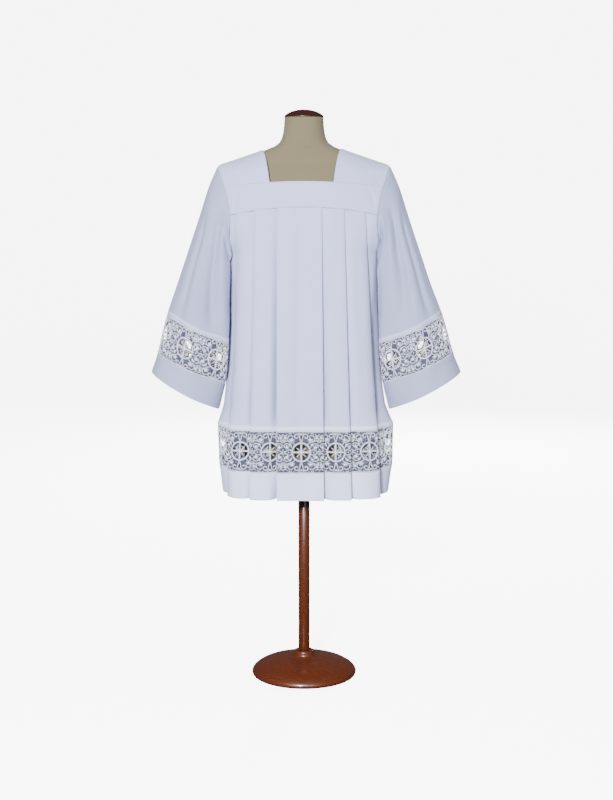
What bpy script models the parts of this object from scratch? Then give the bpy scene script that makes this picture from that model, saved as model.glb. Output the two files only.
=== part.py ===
"""A white pleated surplice with lace insertions, worn by a limbless dress form on a wooden stand.

Metres, +Z up. The garment's front faces -Y, and the origin is the middle of the stand's underside.

The cloth is a thin wall everywhere. Below the yoke each level section of the garment is half an oval
in front and half behind, and the cloth runs along it in knife pleats: to a fold's edge, back under
itself, and out again one layer deeper. The yoke lies on an arch from front to back over the
shoulders. The sleeves are lofted from the armhole, which is where those two surfaces end.
"""

import math
from typing import NamedTuple

import bmesh
import bpy
import numpy as np
from mathutils import Vector
from mathutils.geometry import delaunay_2d_cdt


class RidgePoint(NamedTuple):
    """The shoulder line's height at a distance from the middle."""

    side: float
    height: float


class SkirtSection(NamedTuple):
    """A level section of the garment: a rounded oval of some power, with its middle a little off centre."""

    height: float
    half_width: float
    half_depth: float
    power: float
    middle: float


class Pleat(NamedTuple):
    """A fold's side at the yoke and at the hem, and how far the cloth is tucked under there."""

    at_yoke: float
    at_hem: float
    tuck: float


class SleeveSection(NamedTuple):
    """The upper and the inner end of a sleeve's section, and half its depth from front to back."""

    outer_side: float
    outer_height: float
    inner_side: float
    inner_height: float
    half_depth: float
    middle_y: float


class Trough(NamedTuple):
    """A soft trough down a sleeve: degrees round it from the upper edge, front positive, and its size."""

    turn_at_top: float
    turn_at_lace: float
    depth: float
    spread: float


class FormSection(NamedTuple):
    """A level section of the dress form."""

    height: float
    half_width: float
    half_depth: float


class ShoulderSection(NamedTuple):
    """A level section of the form's shoulders, whose height follows from the shoulder line."""

    half_width: float
    half_depth: float


class TurnedPoint(NamedTuple):
    """A point on a turned profile."""

    radius: float
    height: float


# Cloth and seams
CLOTH_WALL = 0.0012
SEAM_GAP = 0.0003
ARMHOLE_GAP = 0.0009
TANGENT_STEP = 0.002
FRONT, BACK = -1, 1
LEFT, RIGHT = -1, 1
SIDE_NAMES = {LEFT: "left", RIGHT: "right"}
# How often a side and a height that depend on each other are settled in turn
SETTLING_ROUNDS = 8

# The yoke's arch over the shoulders: upright at chest height, level at the ridge
CHEST_HEIGHT = 1.300
CHEST_HALF_WIDTH = 0.270
CHEST_HALF_DEPTH = 0.125
CHEST_POWER = 2.4
ARCH_POWER = 2.2
ARCH_STEP = 0.004
RIDGE = (
    RidgePoint(0.000, 1.5266),
    RidgePoint(0.110, 1.4895),
    RidgePoint(0.227, 1.4500),
    RidgePoint(0.240, 1.4405),
)

# The armhole seam: its side at chest height, how far it leans out at the shoulder's tip, its lowest point
ARMHOLE_SIDE = 0.1995
ARMHOLE_LEAN = 0.0390
ARMHOLE_CURVE = 1.43
UNDERARM_HEIGHT = 1.205

# The square neckline, which sits a little to the wearer's right
NECK_SHIFT = -0.006
NECK_HALF_WIDTH_LOW = 0.0855
NECK_HALF_WIDTH_RIDGE = 0.110
YOKE_SAG_HALF_WIDTH = 0.200
FRONT_YOKE_TOP, FRONT_YOKE_TOP_SAG = 1.4010, 0.012
BACK_YOKE_TOP, BACK_YOKE_TOP_SAG = 1.4400, 0.010
YOKE_BOTTOM, YOKE_BOTTOM_SAG = 1.3340, 0.022

# Level sections of the skirt, from the chest to the hem
SECTIONS = (
    SkirtSection(1.300, 0.2700, 0.1250, 2.40, 0.000),
    SkirtSection(1.280, 0.2590, 0.1265, 2.45, 0.000),
    SkirtSection(1.260, 0.2430, 0.1280, 2.50, 0.000),
    SkirtSection(1.222, 0.2150, 0.1320, 2.60, 0.000),
    SkirtSection(1.205, 0.2065, 0.1330, 2.60, 0.000),
    SkirtSection(1.060, 0.2060, 0.1440, 2.80, 0.000),
    SkirtSection(0.900, 0.2120, 0.1570, 3.00, 0.000),
    SkirtSection(0.785, 0.2270, 0.1660, 3.20, 0.001),
    SkirtSection(0.733, 0.2460, 0.1700, 3.30, 0.004),
    SkirtSection(0.617, 0.2435, 0.1760, 3.40, 0.005),
    SkirtSection(0.543, 0.2345, 0.1800, 3.40, 0.004),
)
LACE_TOP, LACE_BOTTOM, HEM = 0.733, 0.617, 0.543
PANEL_ROWS = (1.280, 1.260, 1.240, 1.222, 1.205, 1.060, 0.900, 0.785)

# Knife pleats, from the middle outwards
FRONT_FOLDS = {
    LEFT: (
        Pleat(-0.0734, -0.0744, 0.0487),
        Pleat(-0.1297, -0.1451, 0.0490),
        Pleat(-0.1838, -0.2182, 0.0480),
    ),
    RIGHT: (
        Pleat(0.0485, 0.0558, 0.0436),
        Pleat(0.1088, 0.1311, 0.0438),
        Pleat(0.1654, 0.2133, 0.0460),
    ),
}
BACK_FOLDS = {
    LEFT: (
        Pleat(-0.0610, -0.0650, 0.0465),
        Pleat(-0.1190, -0.1380, 0.0465),
        Pleat(-0.1750, -0.2150, 0.0465),
    ),
    RIGHT: (
        Pleat(0.0610, 0.0650, 0.0465),
        Pleat(0.1190, 0.1380, 0.0465),
        Pleat(0.1750, 0.2150, 0.0465),
    ),
}
LAYER_GAP_AT_YOKE, LAYER_GAP_AT_HEM = 0.0007, 0.0090
SIDE_PANEL_PARTS = 3

# The sleeves' sections, from below the shoulder to the cuff's edge
SLEEVE_SECTIONS = (
    SleeveSection(0.2620, 1.3890, 0.2115, 1.1750, 0.088, 0.000),
    SleeveSection(0.2905, 1.3030, 0.2120, 1.1300, 0.093, -0.001),
    SleeveSection(0.3270, 1.1950, 0.2125, 1.0750, 0.098, -0.003),
    SleeveSection(0.3490, 1.1300, 0.2135, 1.0300, 0.102, -0.005),
    SleeveSection(0.3800, 1.0420, 0.2155, 0.9560, 0.107, -0.007),
    SleeveSection(0.4090, 0.9355, 0.2265, 0.8475, 0.113, -0.009),
    SleeveSection(0.4290, 0.8810, 0.2390, 0.7750, 0.118, -0.010),
)
SLEEVE_POWER = 2.2
SLEEVE_PARTS_ROUND = 28
SLEEVE_FLARE = {LEFT: -0.004, RIGHT: 0.008}
FLARE_STATION, LACE_TOP_STATION, LACE_BOTTOM_STATION, CUFF_STATION = 4, 5, 6, 7
# The troughs reach their full depth at one station, and lose a share of it by the cuff
TROUGH_FULL_STATION, TROUGH_CUFF_LOSS = 2, 0.6
SLEEVE_TROUGHS = (
    Trough(58.0, 121.0, 0.010, 24.0),
    Trough(36.0, 57.0, 0.007, 18.0),
    Trough(-62.0, -112.0, 0.009, 26.0),
    Trough(-30.0, -52.0, 0.006, 18.0),
)

# The lace: the ring of each repeat with its cross, and the gap above and below it
LACE_REPEAT = 0.0985
LACE_RING_RADIUS = 0.0215
LACE_BAR_HALF_WIDTH = 0.0028
LACE_TIP_NEAR, LACE_TIP_FAR, LACE_TIP_HALF_WIDTH = 0.0310, 0.0440, 0.0055
LACE_FOLD_MARGIN = 0.0020
LACE_TURN_LENGTH = 0.0150
FRONT_RING_SIDE, BACK_RING_SIDE, SLEEVE_RING_AT = -0.0072, 0.0, 0.0450

# The dress form, from the foot of the torso to under the shoulders
FORM_SECTIONS = (
    FormSection(0.6000, 0.1520, 0.1080),
    FormSection(0.6120, 0.1660, 0.1200),
    FormSection(0.7000, 0.1760, 0.1270),
    FormSection(0.8000, 0.1740, 0.1240),
    FormSection(0.8800, 0.1640, 0.1190),
    FormSection(0.9600, 0.1500, 0.1120),
    FormSection(1.0400, 0.1420, 0.1050),
    FormSection(1.1400, 0.1520, 0.1080),
    FormSection(1.2400, 0.1660, 0.1110),
    FormSection(1.3000, 0.1720, 0.1120),
    FormSection(1.3400, 0.1820, 0.1090),
    FormSection(1.3800, 0.1950, 0.1030),
    FormSection(1.4100, 0.2040, 0.0940),
    FormSection(1.4350, 0.2060, 0.0800),
)
FORM_POWER = 2.3
FORM_PARTS_ROUND = 28
# Its shoulder line lies just under the cloth
SHOULDER_SECTIONS = (
    ShoulderSection(0.2000, 0.0485),
    ShoulderSection(0.1553, 0.0500),
    ShoulderSection(0.1020, 0.0540),
)
REST_GAP = 0.0005
NECK_SECTIONS = (
    FormSection(1.5005, 0.0780, 0.0620),
    FormSection(1.5120, 0.0655, 0.0610),
    FormSection(1.5300, 0.0585, 0.0585),
    FormSection(1.5500, 0.0555, 0.0555),
    FormSection(1.5755, 0.0535, 0.0535),
)

# Turned wood, from the top down
CAP_PROFILE = (
    TurnedPoint(0.0000, 1.5980),
    TurnedPoint(0.0190, 1.5965),
    TurnedPoint(0.0370, 1.5915),
    TurnedPoint(0.0495, 1.5845),
    TurnedPoint(0.0550, 1.5785),
    TurnedPoint(0.0545, 1.5758),
    TurnedPoint(0.0000, 1.5758),
)
BASE_PROFILE = (
    TurnedPoint(0.0000, 0.0700),
    TurnedPoint(0.0260, 0.0700),
    TurnedPoint(0.0285, 0.0670),
    TurnedPoint(0.0285, 0.0570),
    TurnedPoint(0.0380, 0.0510),
    TurnedPoint(0.0750, 0.0460),
    TurnedPoint(0.1150, 0.0365),
    TurnedPoint(0.1400, 0.0235),
    TurnedPoint(0.1500, 0.0120),
    TurnedPoint(0.1490, 0.0040),
    TurnedPoint(0.1450, 0.0000),
    TurnedPoint(0.0000, 0.0000),
)
POLE_RADIUS = 0.016
LATHE_STEPS = 36
AXIS_MERGE = 0.00005
CURVE_SAMPLES = 241


def column(rows, name):
    """One named column of a table."""
    return np.array([getattr(row, name) for row in rows])


def at_height(height, name):
    """A column of the section table at this height."""
    rows = SECTIONS[::-1]
    return float(np.interp(height, column(rows, "height"), column(rows, name)))


def between(height, at_yoke, at_hem):
    """A size that runs evenly from the yoke to the hem."""
    return float(np.interp(height, (HEM, YOKE_BOTTOM), (at_hem, at_yoke)))


def power_arc(share, power):
    """The other coordinate of a rounded oval, 0 to 1, where the first is share."""
    return (1 - np.clip(np.abs(share), 0, 1) ** power) ** (1 / power)


def ridge_height(side):
    """Height of the shoulder line at this distance from the middle."""
    return np.interp(np.abs(side), column(RIDGE, "side"), column(RIDGE, "height"))


def chest_depth(side):
    """Depth of the chest section at this distance from the middle."""
    return CHEST_HALF_DEPTH * power_arc(side / CHEST_HALF_WIDTH, CHEST_POWER)


def yoke_depth(side, height):
    """Depth of the yoke's surface above chest height, which falls to nothing at the ridge."""
    return chest_depth(side) * power_arc(
        (height - CHEST_HEIGHT) / (ridge_height(side) - CHEST_HEIGHT), ARCH_POWER
    )


def armhole_edge(height):
    """(side, depth) of the armhole seam, or of the side seam below the underarm."""
    if height <= UNDERARM_HEIGHT:
        return at_height(height, "half_width"), 0.0
    if height <= CHEST_HEIGHT:
        low = (CHEST_HEIGHT - height) / (CHEST_HEIGHT - UNDERARM_HEIGHT)
        depth = float(chest_depth(ARMHOLE_SIDE)) * math.sqrt(1 - low**2)
        reach = power_arc(depth / at_height(height, "half_depth"), at_height(height, "power"))
        return at_height(height, "half_width") * float(reach), depth
    side = ARMHOLE_SIDE
    for _ in range(2 * SETTLING_ROUNDS):
        rise = (height - CHEST_HEIGHT) / float(ridge_height(side) - CHEST_HEIGHT)
        side = ARMHOLE_SIDE + ARMHOLE_LEAN * min(rise, 1.0) ** ARMHOLE_CURVE
    return side, float(yoke_depth(side, height))


def section_curve(height):
    """The level section from the middle to its edge: arrays of length, side and depth."""
    edge_side, edge_depth = armhole_edge(height)
    if height > CHEST_HEIGHT:
        side = np.linspace(0, edge_side, CURVE_SAMPLES)
        depth = yoke_depth(side, height)
    else:
        half_depth = at_height(height, "half_depth")
        power = at_height(height, "power")
        reach = 1 - (edge_depth / half_depth) ** power
        turn = np.linspace(0, math.asin(math.sqrt(reach)), CURVE_SAMPLES)
        side = at_height(height, "half_width") * np.sin(turn) ** (2 / power)
        depth = half_depth * np.cos(turn) ** (2 / power)
    steps = np.hypot(np.diff(side), np.diff(depth))
    return np.concatenate([[0], np.cumsum(steps)]), side, depth


class LevelSection:
    """One level section of the skirt, front or back, that places cloth by length and depth."""

    def __init__(self, height, facing):
        self.height = height
        self.facing = facing
        self.middle = at_height(height, "middle")
        self.lengths, self.sides, self.depths = section_curve(height)

    def edge_length(self):
        """Length from the middle to the seam, less half the gap there."""
        gap = SEAM_GAP / 2 if self.height < UNDERARM_HEIGHT else SEAM_GAP
        return self.lengths[-1] - gap

    def length_at(self, side):
        """Signed length along the section to a point this far to the side."""
        along = np.interp(abs(side - self.middle), self.sides, self.lengths)
        return math.copysign(along, side - self.middle)

    def point(self, length, sunk):
        """The point at a signed length, sunk below the section by this much."""
        along = min(abs(length), self.lengths[-1])
        ends = np.clip((along - TANGENT_STEP, along + TANGENT_STEP), 0, self.lengths[-1])
        sides = np.interp(ends, self.lengths, self.sides)
        depths = np.interp(ends, self.lengths, self.depths)
        run, drop = sides[1] - sides[0], depths[1] - depths[0]
        size = math.hypot(run, drop)
        side = np.interp(along, self.lengths, self.sides) + sunk * drop / size
        depth = np.interp(along, self.lengths, self.depths) - sunk * run / size
        return (
            self.middle + math.copysign(side, length),
            self.facing * depth,
            self.height,
        )


def pleats_of_half(section, folds, side):
    """(length, sunk) pairs from the middle panel's middle outwards to the seam on one side."""
    height = section.height
    gap = between(height, LAYER_GAP_AT_YOKE, LAYER_GAP_AT_HEM)
    first, second = gap + 2 * CLOTH_WALL, gap
    seam = section.edge_length()
    edges, route = [], []
    for fold in folds[side]:
        edge = abs(section.length_at(between(height, fold.at_yoke, fold.at_hem)))
        inner = edge - fold.tuck
        faces = [(at, 0.0) for at in (inner, (inner + edge) / 2, edge)]
        if edges:
            # A panel comes out from under the one before it, and is in the open at its own edge.
            under = (first + second) / (edge - edges[-1])
            faces = [(at, (edge - at) * under) for at, _ in faces]
        route += faces
        route += [(at, sunk + first) for at, sunk in reversed(faces)]
        route += [(at, sunk + first + second) for at, sunk in faces]
        edges.append(edge)
    last = route[-1]
    for part in range(1, SIDE_PANEL_PARTS + 1):
        share = part / SIDE_PANEL_PARTS
        route.append((last[0] + (seam - last[0]) * share, last[1] * (1 - share) ** 2))
    return route


def inner_route(route):
    """The line one wall's thickness below a line of (length, sunk) pairs, mitred at its corners."""
    flat = np.array(route)
    steps = np.diff(flat, axis=0)
    steps /= np.linalg.norm(steps, axis=1)[:, None]
    normals = np.column_stack([-steps[:, 1], steps[:, 0]])
    before, after = np.vstack([(0, 1), normals]), np.vstack([normals, (0, 1)])
    before[-1] = after[0] = (0, 1)
    mitre = (before + after) / (1 + (before * after).sum(axis=1))[:, None]
    return flat + mitre * CLOTH_WALL


def pleated_row(height, facing, folds):
    """The outer and the inner side of the pleated line of cloth at one height, from seam to seam."""
    section = LevelSection(height, facing)
    left = [(-length, sunk) for length, sunk in pleats_of_half(section, folds, LEFT)]
    route = left[::-1] + pleats_of_half(section, folds, RIGHT)
    return np.array(
        [[section.point(*pair) for pair in route], [section.point(*pair) for pair in inner_route(route)]]
    )


def seam_height(side, top, sag):
    """Height of a yoke seam, which hangs lower towards the armholes."""
    return top - sag * (np.abs(side) / YOKE_SAG_HALF_WIDTH) ** 2


def panel_rows(facing, folds):
    """Sides, rows and columns of a pleated panel, from the yoke's seam down to the lace."""
    top = pleated_row(YOKE_BOTTOM - SEAM_GAP, facing, folds)
    for index, side in enumerate(top[0, :, 0].copy()):
        seam = float(seam_height(side, YOKE_BOTTOM - SEAM_GAP, YOKE_BOTTOM_SAG))
        top[:, index] = pleated_row(seam, facing, folds)[:, index]
    heights = (*PANEL_ROWS, LACE_TOP + SEAM_GAP / 2)
    return np.stack([top, *(pleated_row(height, facing, folds) for height in heights)], axis=1)


def band_rows(facing, folds, top, bottom):
    """Sides, rows and columns of a band that carries the pleats on."""
    low = bottom if bottom == HEM else bottom + SEAM_GAP / 2
    heights = (top - SEAM_GAP / 2, low)
    return np.stack([pleated_row(height, facing, folds) for height in heights], axis=1)


def arch_turn(side, height):
    """The angle up the arch at which the yoke's surface has this height."""
    rise = (height - CHEST_HEIGHT) / float(ridge_height(side) - CHEST_HEIGHT)
    return math.asin(rise ** (ARCH_POWER / 2))


def arch_point(side, turn, facing):
    """A point on the arch at an angle up it, a right angle being the ridge."""
    rise = max(math.sin(turn), 0.0) ** (2 / ARCH_POWER)
    depth = float(chest_depth(side)) * max(math.cos(turn), 0.0) ** (2 / ARCH_POWER)
    return np.array(
        (side, facing * depth, CHEST_HEIGHT + rise * float(ridge_height(side) - CHEST_HEIGHT))
    )


def arch_wall(side, turn, facing):
    """The outer and the inner point of the cloth at one place on the arch."""
    place = arch_point(side, turn, facing)
    along = arch_point(side + ARCH_STEP, turn, facing) - arch_point(side - ARCH_STEP, turn, facing)
    above = arch_point(side, min(turn + ARCH_STEP, math.pi / 2), facing)
    up = above - arch_point(side, turn - ARCH_STEP, facing)
    out = np.cross(along, up) * -facing
    if turn > math.pi / 2 - ARCH_STEP:
        out = np.array((-along[2], 0.0, along[0]))
    return np.array((place, place - CLOTH_WALL * out / np.linalg.norm(out)))


def lean_at(turn):
    """How far the armhole seam has leaned out at an angle up the arch."""
    return ARMHOLE_LEAN * math.sin(turn) ** (2 * ARMHOLE_CURVE / ARCH_POWER)


def yoke_band_rows(facing, top, top_sag, parts_across=20, parts_down=3):
    """Sides, rows and columns of the yoke's band, from armhole to armhole."""
    rows = []
    for down in np.linspace(0, 1, parts_down + 1):
        row = []
        for across in np.linspace(-1, 1, parts_across + 1):
            side = across * YOKE_SAG_HALF_WIDTH
            for _ in range(SETTLING_ROUNDS):
                high = float(seam_height(side, top, top_sag))
                low = float(seam_height(side, YOKE_BOTTOM, YOKE_BOTTOM_SAG))
                turn = arch_turn(side, high + (low - high) * down)
                side = across * (ARMHOLE_SIDE + lean_at(turn) - SEAM_GAP)
            row.append(arch_wall(side, turn, facing))
        rows.append(row)
    return np.array(rows).transpose(2, 0, 1, 3)


def strap_rows(side_sign, parts_across=5, parts_up=8):
    """Sides, rows and columns of a shoulder strap, from the front band over the ridge to the back."""
    climbs = [(FRONT, share) for share in np.linspace(0, 1, parts_up + 1)]
    climbs += [(BACK, share) for share in np.linspace(1, 0, parts_up + 1)[1:]]
    tops = {FRONT: (FRONT_YOKE_TOP, FRONT_YOKE_TOP_SAG), BACK: (BACK_YOKE_TOP, BACK_YOKE_TOP_SAG)}
    rows = []
    for facing, share in climbs:
        top, sag = tops[facing]
        inner = NECK_HALF_WIDTH_LOW + (NECK_HALF_WIDTH_RIDGE - NECK_HALF_WIDTH_LOW) * share
        inner = side_sign * inner + NECK_SHIFT
        row = []
        for across in np.linspace(0, 1, parts_across + 1):
            side = inner
            for _ in range(SETTLING_ROUNDS):
                low = arch_turn(side, float(seam_height(side, top + SEAM_GAP, sag)))
                turn = low + (math.pi / 2 - low) * share
                outer = side_sign * (ARMHOLE_SIDE + lean_at(turn) - SEAM_GAP)
                side = inner + (outer - inner) * across
            row.append(arch_wall(side, turn, facing))
        rows.append(row)
    return np.array(rows).transpose(2, 0, 1, 3)


def armhole_ring(side_sign):
    """Points round the armhole from the shoulder's tip, down the front and up the back."""
    down = []
    for turn in np.linspace(math.pi / 2, 0, 61):
        down.append(arch_point(ARMHOLE_SIDE + lean_at(turn), turn, FRONT))
    for height in CHEST_HEIGHT - (CHEST_HEIGHT - UNDERARM_HEIGHT) * np.sin(np.linspace(0, math.pi / 2, 41)):
        side, depth = armhole_edge(float(height))
        down.append((side, FRONT * depth, float(height)))
    down = np.array(down)
    lengths = np.concatenate([[0], np.cumsum(np.linalg.norm(np.diff(down, axis=0), axis=1))])
    shares = np.linspace(0, lengths[-1], SLEEVE_PARTS_ROUND // 2 + 1)
    front = np.array([np.interp(shares, lengths, down[:, axis]) for axis in range(3)]).T
    back = front[-2:0:-1] * (1, -1, 1)
    ring = np.concatenate([front, back])
    ring[:, 0] += ARMHOLE_GAP
    return ring * (side_sign, 1, 1)


def trough(turn, station):
    """How far the sleeve sinks at an angle round it, in its soft lengthwise troughs."""
    share = min(station / LACE_TOP_STATION, 1.0)
    below = max(station - LACE_TOP_STATION, 0) / (CUFF_STATION - LACE_TOP_STATION)
    strength = min(station / TROUGH_FULL_STATION, 1.0) * (1 - TROUGH_CUFF_LOSS * below)
    sunk = 0.0
    for fold in SLEEVE_TROUGHS:
        place = fold.turn_at_top + (fold.turn_at_lace - fold.turn_at_top) * share
        away = (turn - place + 180) % 360 - 180
        sunk += fold.depth * strength * math.exp(-((away / fold.spread) ** 2))
    return sunk


def sleeve_ring(side_sign, station):
    """Points round one section of the sleeve, from its upper edge down the front."""
    if station == 0:
        return armhole_ring(side_sign)
    section = SLEEVE_SECTIONS[station - 1]
    flare = max(station - FLARE_STATION, 0) / (CUFF_STATION - FLARE_STATION)
    outer = np.array((section.outer_side + SLEEVE_FLARE[side_sign] * flare, section.outer_height))
    inner = np.array((section.inner_side, section.inner_height))
    middle, half = (outer + inner) / 2, (outer - inner) / 2
    points = []
    for turn in np.linspace(0, 2 * math.pi, SLEEVE_PARTS_ROUND, endpoint=False):
        along = math.copysign(abs(math.cos(turn)) ** (2 / SLEEVE_POWER), math.cos(turn))
        across = math.copysign(abs(math.sin(turn)) ** (2 / SLEEVE_POWER), math.sin(turn))
        degrees = (math.degrees(turn) + 180) % 360 - 180
        keep = 1 - trough(degrees, station) / section.half_depth
        side, height = middle + half * along * keep
        points.append((side_sign * side, section.middle_y - section.half_depth * across * keep, height))
    return np.array(points)


def ring_wall(ring):
    """A closed line of points with a second line one wall inside it, in its own plane."""
    along = np.roll(ring, -1, axis=0) - np.roll(ring, 1, axis=0)
    across = np.cross(ring, np.roll(ring, -1, axis=0)).sum(axis=0)
    inwards = np.cross(across, along)
    inwards /= np.linalg.norm(inwards, axis=1)[:, None]
    return np.array((ring, ring + CLOTH_WALL * inwards))


def sleeve_rows(side_sign, stations):
    """Sides, rings and columns of the sleeve between stations, which may be fractions."""
    rows = []
    for station in stations:
        low = min(int(station), CUFF_STATION - 1)
        share = station - low
        ring = sleeve_ring(side_sign, low) * (1 - share) + sleeve_ring(side_sign, low + 1) * share
        rows.append(ring_wall(ring))
    return np.stack(rows, axis=1)


def station_gap(low):
    """Half a seam's gap, as a share of the stretch above or below a station."""
    top, bottom = SLEEVE_SECTIONS[low - 1], SLEEVE_SECTIONS[low]
    length = math.hypot(bottom.outer_side - top.outer_side, bottom.outer_height - top.outer_height)
    return SEAM_GAP / 2 / length


def material(name, colour, roughness, metallic=0.0):
    """A plain finish from a linear colour."""
    made = bpy.data.materials.new(name)
    made.use_nodes = True
    shader = made.node_tree.nodes["Principled BSDF"]
    shader.inputs["Base Color"].default_value = (*colour, 1)
    shader.inputs["Roughness"].default_value = roughness
    shader.inputs["Metallic"].default_value = metallic
    return made


def add_object(name, mesh, finish, group):
    """Puts a mesh in the scene as one named piece."""
    made = bpy.data.objects.new(name, mesh)
    mesh.materials.append(finish)
    group.objects.link(made)
    return made


def add_wall(name, outer, inner, faces, finish, group):
    """A closed wall between two sides that share their faces, turned to face outwards."""
    count = len(outer)
    used = {}
    for face in faces:
        for edge in zip(face, face[1:] + face[:1]):
            used[edge] = used.get(edge, 0) + 1
    borders = [(first, last) for first, last in used if (last, first) not in used]
    solid = list(faces)
    solid += [tuple(index + count for index in reversed(face)) for face in faces]
    solid += [(last, first, first + count, last + count) for first, last in borders]
    mesh = bpy.data.meshes.new(name)
    mesh.from_pydata([tuple(point) for point in (*outer, *inner)], [], solid)
    made = bmesh.new()
    made.from_mesh(mesh)
    bmesh.ops.delete(made, geom=[vert for vert in made.verts if not vert.link_faces], context="VERTS")
    if made.calc_volume(signed=True) < 0:
        bmesh.ops.reverse_faces(made, faces=made.faces)
    made.to_mesh(mesh)
    made.free()
    return add_object(name, mesh, finish, group)


def add_sheet(name, sides, finish, group, closed=False):
    """A wall of cloth on a grid of points; a closed one is a tube.

    Each cell is cut along the shorter diagonal of its outer side, and its inner side likewise, so
    that a twisted cell keeps its thickness.
    """
    down, across = sides.shape[1:3]
    outer, inner = sides.reshape(2, -1, 3)
    faces = []
    for row in range(down - 1):
        for index in range(across if closed else across - 1):
            first, after = row * across + index, row * across + (index + 1) % across
            below, opposite = first + across, after + across
            if math.dist(outer[first], outer[opposite]) < math.dist(outer[below], outer[after]):
                faces += [(first, below, opposite), (first, opposite, after)]
            else:
                faces += [(first, below, after), (below, opposite, after)]
    return add_wall(name, outer, inner, faces, finish, group)


def lace_gaps(ring_at, first, last, centre_height, folds_at):
    """Outlines of the gaps to cut in a flat strip of lace from one length to another.

    One ring is centred at ring_at, and no gap comes near a fold or the strip's ends.
    """
    bar, ring = LACE_BAR_HALF_WIDTH, LACE_RING_RADIUS
    reach = math.sqrt(ring**2 - bar**2)
    slant = ring * math.sqrt(0.5)
    quarter = ((bar, bar), (reach, bar), (slant, slant), (bar, reach))
    tip = (
        (0.0, LACE_TIP_NEAR),
        (LACE_TIP_HALF_WIDTH, LACE_TIP_FAR),
        (-LACE_TIP_HALF_WIDTH, LACE_TIP_FAR),
    )
    shapes = [[(x * sx, y * sy) for x, y in quarter] for sx in (-1, 1) for sy in (-1, 1)]
    shapes += [[(x, y * sy) for x, y in tip] for sy in (-1, 1)]
    gaps = []
    rings_before = math.ceil((ring_at - first) / LACE_REPEAT)
    for repeat in np.arange(ring_at - rings_before * LACE_REPEAT, last + LACE_REPEAT, LACE_REPEAT):
        for shape in shapes:
            outline = [(repeat + x, centre_height + y) for x, y in shape]
            low = min(x for x, _ in outline) - LACE_FOLD_MARGIN
            high = max(x for x, _ in outline) + LACE_FOLD_MARGIN
            on_strip = first < low and high < last
            if on_strip and all(high < start or low > end for start, end in folds_at):
                gaps.append(outline)
    return gaps


def inside(point, outline):
    """Whether a flat point lies in an outline."""
    crossings = 0
    for (x0, y0), (x1, y1) in zip(outline, outline[1:] + outline[:1]):
        if (y0 > point[1]) != (y1 > point[1]):
            crossings += point[0] < x0 + (point[1] - y0) * (x1 - x0) / (y1 - y0)
    return crossings % 2 == 1


def cut_strip(columns_at, height, gaps):
    """Triangles of a flat strip with gaps cut in it and an edge along each column: points and faces."""
    corners, edges = [], []
    for column_at in columns_at:
        edges.append((len(corners), len(corners) + 1))
        corners += [(column_at, 0.0), (column_at, height)]
    for level in (0.0, height):
        edges.append((len(corners), len(corners) + 1))
        corners += [(columns_at[0], level), (columns_at[-1], level)]
    for outline in gaps:
        first = len(corners)
        count = len(outline)
        corners += outline
        edges += [(first + index, first + (index + 1) % count) for index in range(count)]
    flat = [Vector(corner) for corner in corners]
    points, _, faces, *_ = delaunay_2d_cdt(flat, edges, [], 0, 1e-7)
    kept = []
    for face in faces:
        middle = sum((points[index] for index in face), Vector((0, 0))) / len(face)
        if not any(inside(middle, outline) for outline in gaps):
            kept.append(tuple(face))
    return points, kept


def column_lengths(rows):
    """Length along the middle of a band to each of its columns."""
    steps = np.linalg.norm(np.diff(rows.mean(axis=0), axis=0), axis=1)
    return np.concatenate([[0], np.cumsum(steps)])


def add_lace(name, sides, ring_at, finish, group):
    """A wall of lace between two rows of points, with its larger gaps cut through."""
    lengths = column_lengths(sides[0])
    height = float(np.linalg.norm(sides[0, 0] - sides[0, 1], axis=1).mean())
    gaps = lace_gaps(ring_at, 0.0, lengths[-1], height / 2, pleat_turns(lengths))
    points, faces = cut_strip([float(at) for at in lengths], height, gaps)
    walls = []
    for rows in sides:
        wall = []
        for point in points:
            share = point.y / height
            row = rows[1] * (1 - share) + rows[0] * share
            wall.append([np.interp(point.x, lengths, row[:, axis]) for axis in range(3)])
        walls.append(wall)
    return add_wall(name, *walls, faces, finish, group)


def pleat_turns(lengths):
    """Stretches of a band, as lengths, in which pleated cloth turns back on itself."""
    steps = zip(lengths, lengths[1:])
    return [(first, last) for first, last in steps if last - first < LACE_TURN_LENGTH]


def add_loft(name, sections, finish, group):
    """A solid lofted through level ovals."""
    made = bmesh.new()
    rings = []
    for section in sections:
        ring = []
        for index in range(FORM_PARTS_ROUND):
            turn = 2 * math.pi * index / FORM_PARTS_ROUND
            across = math.copysign(abs(math.cos(turn)) ** (2 / FORM_POWER), math.cos(turn))
            along = math.copysign(abs(math.sin(turn)) ** (2 / FORM_POWER), math.sin(turn))
            place = (section.half_width * across, section.half_depth * along, section.height)
            ring.append(made.verts.new(place))
        rings.append(ring)
    for low, high in zip(rings, rings[1:]):
        for index in range(FORM_PARTS_ROUND):
            after = (index + 1) % FORM_PARTS_ROUND
            made.faces.new((low[index], low[after], high[after], high[index]))
    made.faces.new(rings[0][::-1])
    made.faces.new(rings[-1])
    mesh = bpy.data.meshes.new(name)
    made.to_mesh(mesh)
    made.free()
    return add_object(name, mesh, finish, group)


def add_turning(name, profile, finish, group):
    """A turned piece: its profile swept round the Z axis by a Screw."""
    points = [(point.radius, 0.0, point.height) for point in profile]
    edges = [(index, index + 1) for index in range(len(points) - 1)]
    mesh = bpy.data.meshes.new(name)
    mesh.from_pydata(points, edges, [])
    piece = add_object(name, mesh, finish, group)
    screw = piece.modifiers.new("turning", "SCREW")
    screw.steps = LATHE_STEPS
    screw.render_steps = LATHE_STEPS
    screw.use_merge_vertices = True
    screw.merge_threshold = AXIS_MERGE
    return piece


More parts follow.
